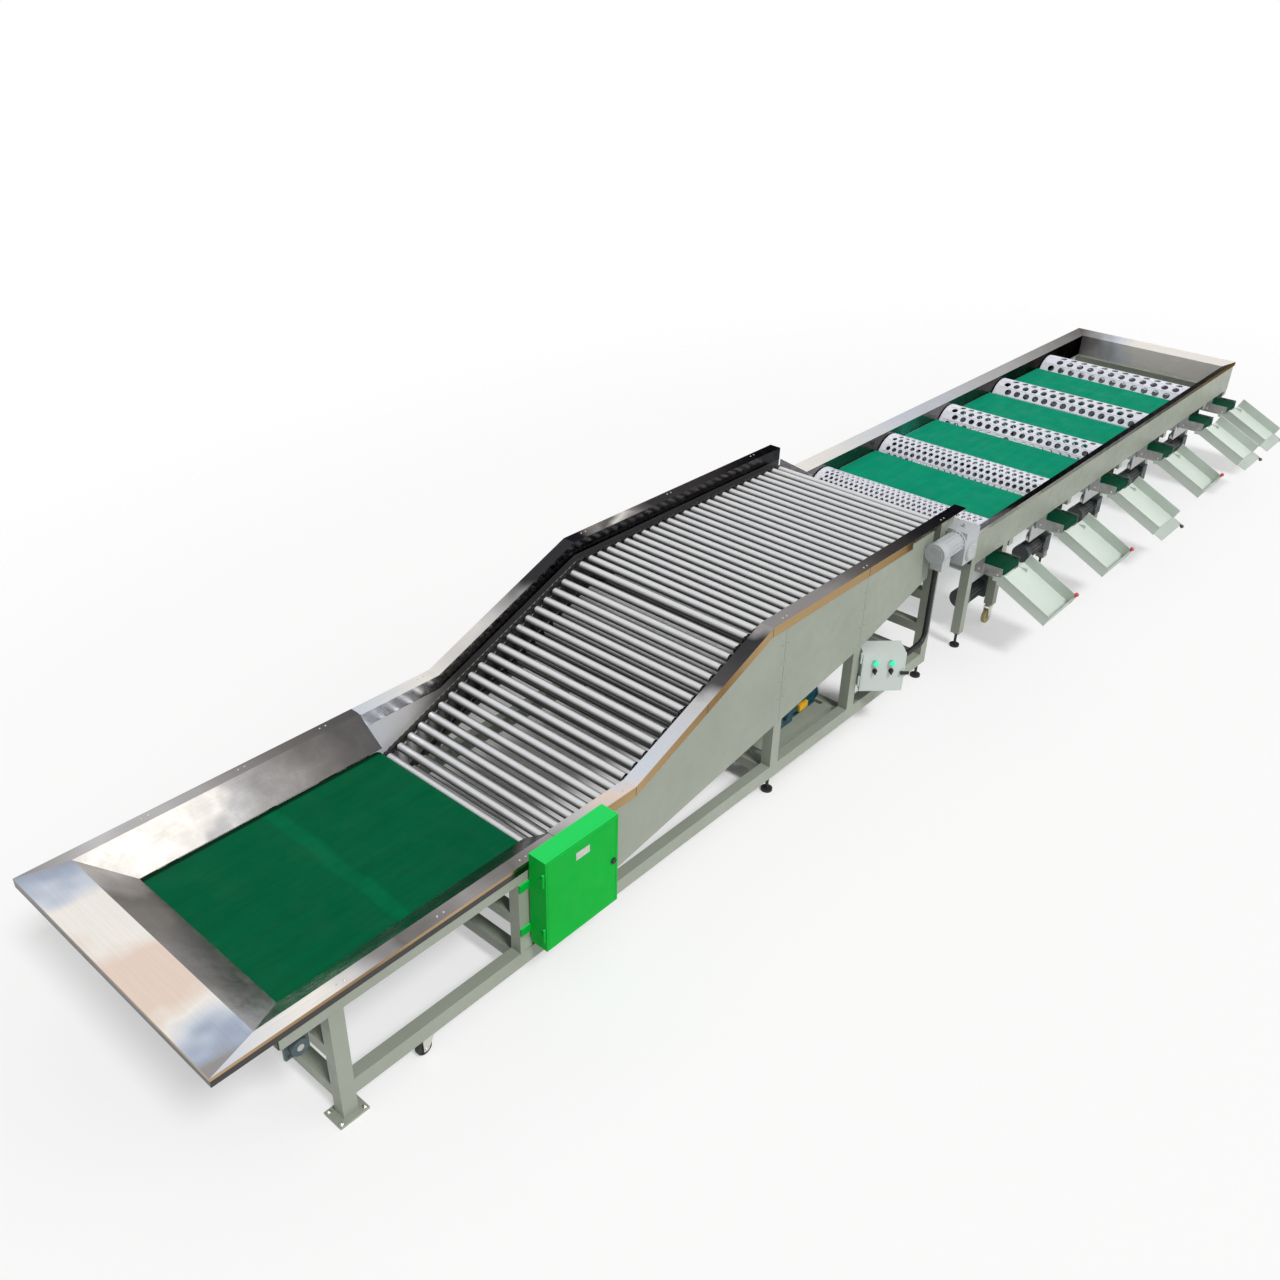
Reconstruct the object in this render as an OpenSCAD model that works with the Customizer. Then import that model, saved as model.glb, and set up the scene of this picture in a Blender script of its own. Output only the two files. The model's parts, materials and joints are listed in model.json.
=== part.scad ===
// Drum-type fruit grading line: flared infeed hopper with belt, chain-roller elevator and
// inspection run, and a grading table with five perforated drums and six side outlets.
// Fruit travels along +X, the operator side with the chutes is -Y, the floor is z = 0.

/* [Infeed hopper] */
// Width of the infeed belt
belt_width = 1000; // [900:10:1060]
// Height of the infeed belt surface
belt_top = 560; // [550:5:580]
// Length of the infeed belt that can be seen
belt_length = 1280; // [1240:10:1300]
// Thickness of every belt
belt_thick = 5; // [3:0.5:6]
// Radius of the infeed belt pulleys
pulley_radius = 45; // [38:1:48]
// Radius of the infeed pulley shafts
pulley_shaft = 15; // [12:1:18]
// Setback of the tail pulley behind the hopper front wall
tail_setback = 40; // [30:5:60]
// Height of the hopper rim
rim_height = 690; // [680:5:710]
// Half of the width over the rims
rim_half = 728; // [728:1:735]
// Width of the side rim flange
side_flange = 66; // [50:2:80]
// Width of the front rim flange
front_flange = 215; // [160:5:240]
// Level run of the sloping front wall
front_run = 185; // [150:5:200]
// Height of the folded lip under the hopper rim
rim_lip = 45; // [30:1:50]
// Thickness of stainless sheet
sheet = 2; // [1.5:0.5:3]
// Gap between hopper sheet and belt
belt_gap = 4; // [2:1:8]

/* [Elevator] */
// Distance from belt start to the foot of the slope
kink_x = 1780; // [1760:10:1800]
// Distance from belt start to the top of the slope
bend_x = 2795; // [2780:5:2820]
// Height of the rails along the inspection run
rail_height = 1100; // [1080:5:1120]
// Distance from belt start to the end of the elevator rails
elevator_end = 4770; // [4750:5:4775]
// Distance from belt start to the head shaft
head_x = 4645; // [4630:5:4650]
// Inner face of the rails from the middle
rail_inner = 648; // [646:1:650]
// Depth of the stainless inner wall under the rail
rail_wall = 80; // [60:5:84]
// Height of the folded lip under the elevator rail
rail_lip = 55; // [40:1:60]
// Distance from belt start to the end of the rail lip
lip_end = 4150; // [4000:10:4300]
// Depth of the roller tops under the rail
roller_depth = 80; // [76:1:86]
// Diameter of the carrying rollers
roller_diameter = 46; // [36:1:48]
// Distance between rollers along the chain
roller_pitch = 76.2; // [74:0.1:80]
// Half of the roller length
roller_half = 580; // [560:5:580]
// Radius of the roller axles
axle_radius = 7; // [5:0.5:9]
// Teeth on the chain sprockets
sprocket_teeth = 16; // [14:2:16]
// Length of the roller run below the bend
incline_run = 1590; // [1580:5:1600]
// Height of the chain links
chain_height = 36; // [30:1:36]
// Width of the chain
chain_width = 20; // [14:1:20]
// Distance of the chain from the middle
chain_y = 596; // [590:1:600]
// Radius of the head and tail shafts
shaft_radius = 20; // [16:1:22]
// Thickness of the conveyor side plates
plate = 10; // [6:1:10]
// Depth of the conveyor side plates under the rail
plate_depth = 350; // [340:5:360]
// Thickness of the chain tracks
track = 6; // [4:0.5:7]
// Thickness of the painted side panels
panel = 3; // [2:0.5:4]
// Distance from belt start to the first end of the side panel
panel_start = 1550; // [1550:5:1600]
// Distance from belt start to the panel seam
panel_seam = 3690; // [3650:5:3720]
// Distance from belt start to the panel seam behind the bend
panel_split = 2925; // [2850:5:3000]
// Distance from belt start to the last end of the side panel
panel_end = 4400; // [4350:5:4420]
// Height of the lower panel edge at its first end
panel_low = 262; // [240:2:300]
// Height of the lower panel edge at the seam
panel_mid = 582; // [560:2:600]
// Height of the lower panel edge at its last end
panel_high = 765; // [740:5:790]

/* [Feed frame] */
// Width of the frame tubes across the machine
tube = 60; // [50:1:60]
// Width of the legs along the machine
leg = 70; // [60:1:80]
// Height of the long bottom tubes
rail_tube = 80; // [60:1:90]
// Height of the bottom tubes over the floor
rail_floor = 105; // [100:1:110]
// Distance from belt start to the infeed legs
leg_in = 75; // [60:1:90]
// Distance from belt start to the cabinet legs
leg_cabinet = 1040; // [1020:5:1050]
// Distance from belt start to the middle legs
leg_middle = 2890; // [2870:5:2900]
// Distance from belt start to the legs beside the control box
leg_box = 3645; // [3640:1:3650]
// Distance from belt start to the elevator end legs
leg_end = 4490; // [4480:5:4500]
// Overhang of the top tubes in front of the infeed legs
top_overhang = 205; // [180:5:220]
// Length of the floor plate under the infeed leg
foot_length = 140; // [130:1:150]
// Width of the floor plate under the infeed leg
foot_width = 110; // [104:1:120]
// Thickness of the floor plate
foot_thick = 12; // [8:1:16]
// Distance between floor bolts along the machine
bolt_x = 112; // [104:1:118]
// Distance between floor bolts across the machine
bolt_y = 84; // [80:1:88]
// Diameter of the floor bolt holes
bolt_hole = 12; // [9:1:14]
// Height of the lower cross tubes on the legs
cross_low = 330; // [300:5:340]
// Height of the upper cross tubes under the run
cross_high = 560; // [540:5:580]
// Radius of the levelling foot pads
pad_radius = 32; // [24:1:36]
// Height of the levelling foot pads
pad_height = 14; // [10:1:18]
// Radius of the levelling foot screws
pad_screw = 9; // [6:1:12]

/* [Drives and boxes] */
// Size of the bearing flanges
bearing_size = 104; // [90:2:110]
// Thickness of the bearing flanges
bearing_flange = 14; // [10:1:18]
// Depth of the bearing housings
bearing_depth = 40; // [36:1:40]
// Radius of the motor bodies
motor_radius = 65; // [55:1:70]
// Length of the head gearmotor
motor_length = 255; // [230:5:270]
// Width of the gearbox along the machine
gear_length = 160; // [150:2:160]
// Depth of the gearbox across the machine
gear_depth = 130; // [120:2:140]
// Distance from gearbox output to motor axis
gear_offset = 75; // [65:1:80]
// Radius of the cable hose
hose_radius = 17; // [14:1:20]
// Depth of the hose ribs
hose_rib = 3; // [2:0.5:4]
// Width of the green cabinet
cabinet_width = 450; // [400:5:450]
// Height of the green cabinet
cabinet_height = 500; // [450:5:520]
// Depth of the green cabinet without door
cabinet_depth = 84; // [80:1:100]
// Distance from belt start to the cabinet
cabinet_x = 1095; // [1090:1:1095]
// Height of the cabinet over the floor
cabinet_floor = 232; // [220:2:250]
// Thickness of the cabinet doors
door = 16; // [12:1:20]
// Thickness of box sheet
box_sheet = 3; // [2:0.5:4]
// Width and height of the control box
box_size = 250; // [240:2:260]
// Depth of the control box
box_depth = 130; // [110:5:140]
// Height of the control box over the floor
box_floor = 295; // [285:5:300]
// Turn of the control box towards the infeed operator
box_turn = 45; // [40:1:50]
// Radius of the push buttons
button_radius = 14; // [10:0.5:15]
// Height of the push buttons over the door
button_height = 14; // [8:1:18]
// Radius of the selector knobs
knob_radius = 15; // [12:0.5:17]
// Height of the selector knobs
knob_height = 22; // [16:1:26]
// Radius of the door hinge barrels
hinge_radius = 6; // [4:0.5:7]

/* [Grading table] */
// Distance from belt start to the first end of the table
table_start = 5000; // [4990:5:5005]
// Distance from belt start to the last end of the table
table_end = 9800; // [9795:5:9830]
// Height of the table rim
table_rim = 860; // [850:5:870]
// Height of the table walls under the flare
table_wall = 820; // [810:5:830]
// Height of the transfer belts
deck = 720; // [715:1:725]
// Height of the lower edge of table walls
wall_low = 640; // [635:1:645]
// Height of the folded lip under the table rim
table_lip = 30; // [24:1:36]
// Height of the lower panel edge
table_panel = 612; // [600:2:622]
// Distance from belt start to the first drum
drum_x = 5330; // [5325:1:5335]
// Distance between drums
drum_pitch = 915; // [910:1:920]
// Outer radius of the drums
drum_radius = 190; // [180:1:190]
// Wall of the drums
drum_wall = 6; // [4:0.5:8]
// Half length of the drums
drum_half = 640; // [620:1:642]
// Height of the drum axes
drum_axis = 600; // [595:1:600]
// Width of the drum end rings
drum_ring = 25; // [20:1:30]
// Gap between drums and transfer belts
drum_gap = 10; // [8:1:16]
// Radius of the transfer belt pulleys
transfer_pulley = 30; // [26:1:32]
// Width of the outlet cross belts
cross_width = 230; // [200:5:230]
// Height of the outlet cross belts
cross_top = 545; // [540:1:550]
// Radius of the outlet belt pulleys
cross_pulley = 27; // [24:1:27]
// Reach of the outlet belts from the middle
cross_reach = 850; // [820:5:870]
// Distance from the last drum to the oversize outlet
oversize = 580; // [570:5:590]
// Width of the outlet trays
tray_width = 400; // [360:5:410]
// Height of the tray walls
tray_wall = 75; // [60:1:85]
// Length of the trays along their slope
tray_length = 383; // [360:1:400]
// Slope of the trays
tray_slope = 26; // [22:1:28]
// Thickness of tray sheet
tray_sheet = 3; // [2:0.5:3]
// Height of the tray gates
gate_height = 80; // [60:1:90]
// Radius of the gate knobs
ball = 14; // [10:1:16]
// Size of the table beams
beam = 60; // [50:1:60]
// Radius of the drum bearer wheels
bearer = 40; // [34:1:42]

/* [Castors] */
// Wheel radius of the feed frame castors
feed_wheel = 37.5; // [30:0.5:40]
// Wheel radius of the table castors
table_wheel = 50; // [40:1:54]
// Width of the castor wheels
wheel_width = 28; // [22:1:32]
// Offset of the castor wheels from the swivel
trail = 24; // [16:1:28]
// Distance from belt start to the feed frame castors
feed_castor_x = 526; // [480:5:560]
// Distance from belt start to the table castors
table_castor_x = 5490; // [5488:1:5500]
// Height of the table castors
table_castor_top = 140; // [130:1:150]

/* [Hidden] */
$fn = 64;
// overrun of cuts, clearance between parts that move and radial running fit
over = 2;
clear = 0.3;
fit = 0.05;
seam = 0.6;

belt_half = belt_width / 2;
bend_half = rim_half - side_flange;
front_x = -front_run - front_flange;
machine_length = table_end - front_x;
line_x = -(front_x + table_end) / 2;
frame_out = rail_inner + sheet + plate + tube;
frame_in = frame_out - tube;
plate_in = rail_inner + sheet;
slope = atan2(rail_height - rim_height, bend_x - kink_x);
along = [cos(slope), sin(slope)];
up = [-sin(slope), cos(slope)];

chain_pitch = roller_pitch / 2;
chain_share = 0.62;
sprocket_radius = chain_pitch / (2 * sin(180 / sprocket_teeth));
chain_depth = roller_depth + roller_diameter / 2;
function under(d) = [bend_x + d * tan(slope / 2), rail_height - d];
upper_bend = under(chain_depth);
lower_bend = under(chain_depth + 2 * sprocket_radius);
tail_top = upper_bend - incline_run * along;
tail_low = tail_top - 2 * sprocket_radius * up;
tail = tail_top - sprocket_radius * up;
head = [head_x, rail_height - chain_depth - sprocket_radius];
run_1 = incline_run;
run_2 = run_1 + head_x - upper_bend[0];
run_3 = run_2 + PI * sprocket_radius;
run_4 = run_3 + head_x - lower_bend[0];
run_5 = run_4 + norm(lower_bend - tail_low);
chain_loop = run_5 + PI * sprocket_radius;
function turn(s) = s * 180 / (PI * sprocket_radius);
function facing(s) =
    s < run_1 ? -slope :
    s < run_2 ? 0 :
    s < run_3 ? turn(s - run_2) :
    s < run_4 ? 180 :
    s < run_5 ? 180 - slope : 180 - slope + turn(s - run_5);
function outward(s) = [sin(facing(s)), cos(facing(s))];
function spot(s) =
    s < run_1 ? tail_top + s * along :
    s < run_2 ? upper_bend + [s - run_1, 0] :
    s < run_3 ? head + sprocket_radius * outward(s) :
    s < run_4 ? [head_x - (s - run_3), head[1] - sprocket_radius] :
    s < run_5 ? lower_bend - (s - run_4) * along : tail + sprocket_radius * outward(s);
roller_count = round(chain_loop / roller_pitch);
roller_step = chain_loop / roller_count;
link_step = chain_loop / (4 * roller_count);
function link_half(i) = chain_height / 2 * (i % 2 == 0 ? 1 : chain_share);

head_pulley = [belt_length - pulley_radius - belt_thick, belt_top - belt_thick - pulley_radius];
tail_pulley = [-tail_setback, belt_top - belt_thick - pulley_radius];
drive_sprocket = 60;
drive_chain = 14;
drive_width = 12;
side_gap = 4;
drive_y = frame_in + bearing_depth + side_gap;
top_tube_low = rim_height - rim_lip - tube;
bottom_top = rail_floor + rail_tube;
legs = [leg_middle, leg_box, leg_end];

motor_y = -(frame_out + panel + motor_radius + sheet);
gear_x = head_x - gear_length / 2;
motor_z = head[1] + gear_offset;
box_gap = 10;
box_stand = 15;
box_corner = [leg_box + leg + box_gap, -frame_out - box_stand, box_floor];
hose_x = panel_end;
hose_in = 20;
hose_y = motor_y + hose_in;
hose_z = 345;
hose_bend = 70;
hose_pitch = 12;
terminal_drop = 118;

drum_in = drum_radius - drum_wall;
drum_rows = [30, 24, 18, 16, 15];
drum_across = [30, 24, 17, 15, 13];
hole_share = 0.74;
function station(k) = k < 5 ? drum_x + k * drum_pitch : drum_x + 4 * drum_pitch + oversize;
deck_pulley = deck - belt_thick - transfer_pulley;
deck_reach = ceil(sqrt(pow(drum_radius, 2) - pow(deck_pulley - drum_axis, 2))) + drum_gap;
table_flare = rim_half - rail_inner;
table_close = table_end - table_flare + beam;
beam_drop = 15;
beam_low = wall_low - beam_drop;
cross_z = cross_top - belt_thick - cross_pulley;
tray_gap = 5;
tray_y = cross_reach + tray_gap;
tray_drop = 50;
tray_z = cross_top - tray_drop;
station_leg = 245;
castor_bore = 6;

pin_radius = 4;
barrel = 6;
gate_out = tray_length + barrel + side_gap;
knob_reach = gate_height + ball;
outlet_end = tray_y + (gate_out + knob_reach) * cos(tray_slope) + barrel * sin(tray_slope) + ball;
far_reach = max(rim_half, frame_in + tube / 2 + foot_width / 2);
line_y = (outlet_end - far_reach) / 2;

module line() {
    translate([line_x, line_y, 0]) children();
}
module pair() {
    children();
    mirror([0, 1, 0]) children();
}
module block(x, y, z) {
    translate([x[0], y[0], z[0]]) cube([x[1] - x[0], y[1] - y[0], z[1] - z[0]]);
}
module rod_y(at, r, y) {
    translate([at[0], y[0], at[1]]) rotate([-90, 0, 0]) cylinder(h = y[1] - y[0], r = r);
}
module rod_x(at, r, x) {
    translate([x[0], at[0], at[1]]) rotate([0, 90, 0]) cylinder(h = x[1] - x[0], r = r);
}
module wall_y(points, y) {
    translate([0, y[1], 0]) rotate([90, 0, 0]) linear_extrude(height = y[1] - y[0]) polygon(points);
}
module run_x(points, x) {
    translate([x[0], 0, 0]) rotate([90, 0, 90]) linear_extrude(height = x[1] - x[0]) polygon(points);
}
function band(path, a, b) = concat(
    [for (p = path) p - [0, a]],
    [for (i = [len(path) - 1 : -1 : 0]) path[i] - [0, b]]);
module loop_2d(a, b, r) {
    translate(a) circle(r = r);
    translate(b) circle(r = r);
    translate(a) rotate(atan2(b[1] - a[1], b[0] - a[0])) translate([0, -r]) square([norm(b - a), 2 * r]);
}
module loop_y(a, b, r, thick, y) {
    translate([0, y[1], 0]) rotate([90, 0, 0]) linear_extrude(height = y[1] - y[0]) difference() {
        loop_2d(a, b, r + thick);
        loop_2d(a, b, r);
    }
}
module toothed(tip, root, teeth) {
    polygon([for (i = [0 : 4 * teeth - 1])
        (i % 4 < 2 ? tip : root) * [cos(i * 90 / teeth), sin(i * 90 / teeth)]]);
}
module sprocket_y(at, tip, root, teeth, y) {
    translate([at[0], y[1], at[1]]) rotate([90, 0, 0]) linear_extrude(height = y[1] - y[0])
        toothed(tip, root, teeth);
}
module finned_motor(y, z, x, r) {
    rod_x([y, z], r * core_share, x);
    rod_x([y, z], r, [x[0], x[0] + r * cover_share]);
    for (i = [0 : fin_count - 1])
        translate([0, y, z]) rotate([i * 360 / fin_count, 0, 0])
            block([x[0] + r * cover_share, x[1] - r * bell_share], [-fin_half, fin_half], [0, r * fin_share]);
    rod_x([y, z], r, [x[1] - r * bell_share, x[1]]);
}
core_share = 0.86;
cover_share = 0.9;
bell_share = 0.2;
fin_share = 0.96;
fin_count = 16;
fin_half = 2.5;

foot_pad = foot_thick;
post_low = rail_floor;
rim_block = 50;
bed_thick = 3;
bed_bar = 36;
bed_low = belt_top - belt_thick - clear - bed_thick;
bed_bars = [leg_in + leg, belt_length / 2, leg_cabinet + leg - bed_bar];
bracket_high = 130;
hopper_low = belt_top + belt_gap;
hopper_under = hopper_low - sheet * norm([front_run, rim_height - hopper_low]) / front_run;
side_under = hopper_low - sheet * norm([bend_half - belt_half, rim_height - hopper_low])
    / (bend_half - belt_half);
base_bar = 60;
base_near = 620;
base_far = 480;
base_plate = 8;
base_margin = 40;

module feed_frame() {
    y = [frame_in, frame_out];
    color([0.64, 0.66, 0.61]) line() {
        pair() {
            block([leg_in, leg_end + leg], y, [rail_floor, bottom_top]);
            block([leg_in, leg_in + leg], y, [foot_thick, top_tube_low]);
            block([leg_in - top_overhang, leg_cabinet + leg], y, [top_tube_low, top_tube_low + tube]);
            block([leg_cabinet, leg_cabinet + leg], y, [bottom_top, top_tube_low]);
            for (x = bed_bars)
                block([x, x + bed_bar], [frame_out - rim_block, frame_out],
                    [top_tube_low + tube, rim_height - sheet]);
            for (x = legs)
                block([x, x + leg], y, [rail_floor, rail_height - sheet]);
            difference() {
                block([tail_pulley[0] - rim_block, tail_pulley[0] + rim_block], [plate_in, frame_in],
                    [tail_pulley[1] - bracket_high / 2, top_tube_low + tube]);
                rod_y(tail_pulley, pulley_shaft + clear, [plate_in - over, frame_in + over]);
            }
            translate([leg_in + leg / 2, frame_in + tube / 2, 0]) difference() {
                block([-foot_length / 2, foot_length / 2], [-foot_width / 2, foot_width / 2], [0, foot_thick]);
                for (i = [-1, 1], j = [-1, 1])
                    translate([i * bolt_x / 2, j * bolt_y / 2, -over])
                        cylinder(h = foot_thick + 2 * over, d = bolt_hole);
            }
        }
        cross = [-frame_in, frame_in];
        for (x = concat([leg_in, leg_cabinet], legs))
            block([x, x + tube], cross, [rail_floor, rail_floor + tube]);
        for (x = [leg_in, leg_cabinet, leg_end])
            block([x, x + tube], cross, [cross_low, cross_low + tube]);
        for (x = legs)
            block([x, x + tube], cross, [cross_high, cross_high + tube]);
        for (far = [base_near, base_far])
            block([leg_middle + tube, leg_box], [-far, base_bar - far], [rail_floor, rail_floor + tube]);
        block([leg_middle + leg + base_margin, leg_box - base_margin], [-base_near, base_bar - base_far],
            [rail_floor + tube, rail_floor + tube + base_plate]);
    }
}

module hopper_front() {
    color([0.8, 0.8, 0.78]) line() intersection() {
        wall_y([[front_x, rim_height - rim_lip], [front_x, rim_height], [-front_run, rim_height],
            [0, hopper_low], [0, hopper_under], [-front_run, rim_height - sheet],
            [front_x + sheet, rim_height - sheet], [front_x + sheet, rim_height - rim_lip]],
            [-rim_half, rim_half]);
        linear_extrude(height = rim_height + over) polygon([[0, -belt_half], [0, belt_half],
            [-front_run, bend_half], [front_x, rim_half], [front_x, -rim_half], [-front_run, -bend_half]]);
    }
}

module hopper_sides() {
    color([0.8, 0.8, 0.78]) line() pair() intersection() {
        run_x([[belt_half, hopper_low], [bend_half, rim_height], [rim_half, rim_height],
            [rim_half, rim_height - rim_lip], [rim_half - sheet, rim_height - rim_lip],
            [rim_half - sheet, rim_height - sheet], [bend_half, rim_height - sheet],
            [belt_half, side_under]], [front_x, belt_length]);
        linear_extrude(height = rim_height + over) polygon([[0, belt_half], [-front_run, bend_half],
            [front_x, rim_half], [belt_length, rim_half], [belt_length, belt_half]]);
    }
}

module infeed_bed() {
    color([0.55, 0.56, 0.55]) line() {
        block([tail_pulley[0] + pulley_radius, head_pulley[0] - pulley_radius], [-belt_half, belt_half],
            [bed_low, bed_low + bed_thick]);
        for (x = bed_bars) {
            block([x, x + bed_bar], [-frame_in, frame_in], [bed_low - bed_bar, bed_low]);
            pair() block([x, x + bed_bar], [plate_in, frame_in], [bed_low, top_tube_low + tube]);
        }
    }
}

module infeed_belt() {
    color([0.0, 0.3, 0.16]) line()
        loop_y(tail_pulley, head_pulley, pulley_radius + clear, belt_thick - clear, [-belt_half, belt_half]);
}

module infeed_head_roller() {
    color([0.6, 0.6, 0.62]) line() {
        rod_y(head_pulley, pulley_radius, [-belt_half, belt_half]);
        rod_y(head_pulley, pulley_shaft, [-frame_in - bearing_depth, drive_y + drive_width]);
        sprocket_y(head_pulley, drive_sprocket, drive_sprocket * root_share, drive_teeth,
            [drive_y, drive_y + drive_width]);
    }
}
root_share = 0.9;
drive_teeth = 20;

module infeed_tail_roller() {
    color([0.6, 0.6, 0.62]) line() {
        rod_y(tail_pulley, pulley_radius, [-belt_half, belt_half]);
        rod_y(tail_pulley, pulley_shaft, [-frame_in - bearing_depth, frame_in + bearing_depth]);
    }
}

boss_share = 0.36;
corner_share = 0.36;
screw_radius = 6;
screw_head = 7;
module bearing(at, bore) {
    difference() {
        union() {
            block([at[0] - bearing_size / 2, at[0] + bearing_size / 2], [frame_in, frame_in + bearing_flange],
                [at[1] - bearing_size / 2, at[1] + bearing_size / 2]);
            rod_y(at, bearing_size * boss_share, [frame_in, frame_in + bearing_depth]);
            for (i = [-1, 1], j = [-1, 1])
                rod_y(at + bearing_size * corner_share * [i, j], screw_radius,
                    [frame_in + bearing_flange, frame_in + bearing_flange + screw_head], $fn = 6);
        }
        rod_y(at, bore + fit, [frame_in - over, frame_in + bearing_depth + over]);
    }
}
module bearings() {
    color([0.2, 0.28, 0.3]) line() pair() {
        bearing(tail_pulley, pulley_shaft);
        bearing(head_pulley, pulley_shaft);
        bearing(tail, shaft_radius);
        bearing(head, shaft_radius);
    }
}

rail_start = belt_length + sheet;
rail_path = [[rail_start, rim_height], [kink_x, rim_height], [bend_x, rail_height], [elevator_end, rail_height]];
lip_path = [rail_path[0], rail_path[1], rail_path[2], [lip_end, rail_height]];
module elevator_rails() {
    color([0.82, 0.82, 0.8]) line() pair() {
        wall_y(band(rail_path, 0, sheet), [rail_inner, rim_half]);
        wall_y(band(rail_path, 0, rail_wall), [rail_inner, plate_in]);
        wall_y(band(lip_path, 0, rail_lip), [rim_half - sheet, rim_half]);
    }
}

plate_low = bottom_top + clear;
plate_front = head_pulley[0] - bearing_size / 2;
plate_drop = rail_height - plate_depth - plate_low;
track_gap = 100;
track_y = chain_y - side_gap;
module chain_track(d) {
    wall_y([under(d) - (incline_run - track_gap) * along, under(d), [head_x - track_gap, rail_height - d],
        [head_x - track_gap, rail_height - d - track], under(d + track),
        under(d + track) - (incline_run - track_gap) * along], [track_y, plate_in]);
}
module elevator_plates() {
    deep = under(plate_depth);
    color([0.62, 0.64, 0.6]) line() pair() {
        difference() {
            wall_y([[plate_front, top_tube_low + tube], [rail_start, top_tube_low + tube],
                [rail_start, rim_height - sheet], [kink_x, rim_height - sheet], [bend_x, rail_height - sheet],
                [elevator_end, rail_height - sheet], [elevator_end, deep[1]], deep,
                [deep[0] - plate_drop / tan(slope), plate_low], [plate_front, plate_low]], [plate_in, frame_in]);
            rod_y(tail, shaft_radius + clear, [plate_in - over, frame_in + over]);
            rod_y(head, shaft_radius + clear, [plate_in - over, frame_in + over]);
            rod_y(head_pulley, pulley_shaft + clear, [plate_in - over, frame_in + over]);
        }
        chain_track(chain_depth + chain_height / 2 + clear);
        chain_track(chain_depth + 2 * sprocket_radius + chain_height / 2 + clear);
    }
}

panel_top = rail_lip / 2;
panel_rise = (panel_mid - panel_low) / (panel_seam - panel_start);
function panel_edge(x) = [x, panel_low + (x - panel_start) * panel_rise];
module elevator_panels() {
    color([0.64, 0.67, 0.62]) line() pair() {
        wall_y([[panel_start, panel_low], [panel_start, rim_height - panel_top], [kink_x, rim_height - panel_top],
            [bend_x, rail_height - panel_top], [panel_split - over / 2, rail_height - panel_top],
            panel_edge(panel_split - over / 2)], [frame_out, frame_out + panel]);
        wall_y([panel_edge(panel_split + over / 2), [panel_split + over / 2, rail_height - panel_top],
            [panel_seam - over / 2, rail_height - panel_top], [panel_seam - over / 2, panel_mid]],
            [frame_out, frame_out + panel]);
        wall_y([[panel_seam + over / 2, panel_mid], [panel_seam + over / 2, rail_height - panel_top],
            [panel_end, rail_height - panel_top], [panel_end, panel_high]], [frame_out, frame_out + panel]);
    }
}

module rollers() {
    color([0.8, 0.8, 0.82]) line() for (i = [0 : roller_count - 1]) {
        at = spot((i + 1 / 2) * roller_step);
        translate([at[0], 0, at[1]]) rotate([90, 0, 0]) rotate_extrude() polygon([[0, -chain_y],
            [axle_radius, -chain_y], [axle_radius, -roller_half], [roller_diameter / 2, -roller_half],
            [roller_diameter / 2, roller_half], [axle_radius, roller_half], [axle_radius, chain_y], [0, chain_y]]);
    }
}

module chains() {
    last = 4 * roller_count - 1;
    color([0.3, 0.3, 0.3]) line() {
        pair() translate([0, chain_y + chain_width, 0]) rotate([90, 0, 0])
            linear_extrude(height = chain_width) difference() {
                polygon([for (i = [0 : last]) spot(i * link_step) + link_half(i) * outward(i * link_step)]);
                polygon([for (i = [0 : last]) spot(i * link_step) - link_half(i) * outward(i * link_step)]);
            }
        loop_y(tail, head_pulley, drive_sprocket + clear, drive_chain, [drive_y, drive_y + drive_width]);
    }
}

sprocket_tip = sprocket_radius - chain_height / 2 - over;
sprocket_y0 = chain_y + over;
sprocket_y1 = chain_y + chain_width - over;
module chain_shaft(at, y) {
    rod_y(at, shaft_radius, y);
    pair() {
        sprocket_y(at, sprocket_tip, sprocket_tip * root_share, sprocket_teeth, [sprocket_y0, sprocket_y1]);
        rod_y(at, shaft_radius * hub_share, [sprocket_y0 - chain_width, sprocket_y0]);
    }
}
hub_share = 1.7;
module head_shaft() {
    color([0.5, 0.5, 0.52]) line()
        chain_shaft(head, [motor_y - gear_depth / 2 + over, frame_in + bearing_depth + screw_head]);
}
module tail_shaft() {
    color([0.5, 0.5, 0.52]) line() {
        chain_shaft(tail, [-frame_in - bearing_depth - screw_head, drive_y + drive_width]);
        sprocket_y(tail, drive_sprocket, drive_sprocket * root_share, drive_teeth,
            [drive_y, drive_y + drive_width]);
    }
}

gear_margin = 72;
gear_flange = 58;
terminal_half = 48;
terminal_wide = 38;
module elevator_gearmotor() {
    y0 = motor_y - gear_depth / 2;
    y1 = motor_y + gear_depth / 2;
    color([0.78, 0.79, 0.78]) line() {
        difference() {
            union() {
                block([gear_x, gear_x + gear_length], [y0, y1], [head[1] - gear_margin, motor_z + motor_radius]);
                rod_y(head, gear_flange, [y1, -frame_in - bearing_depth]);
                rod_y(head, gear_flange, [y0 - screw_head, y0]);
            }
            rod_y(head, shaft_radius + fit, [y0, -frame_in - bearing_depth + over]);
        }
        finned_motor(motor_y, motor_z, [gear_x - motor_length, gear_x], motor_radius);
        block([hose_x - terminal_half, hose_x + terminal_half], [motor_y - terminal_wide, motor_y + terminal_wide],
            [motor_z - terminal_drop, motor_z]);
    }
}

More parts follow.
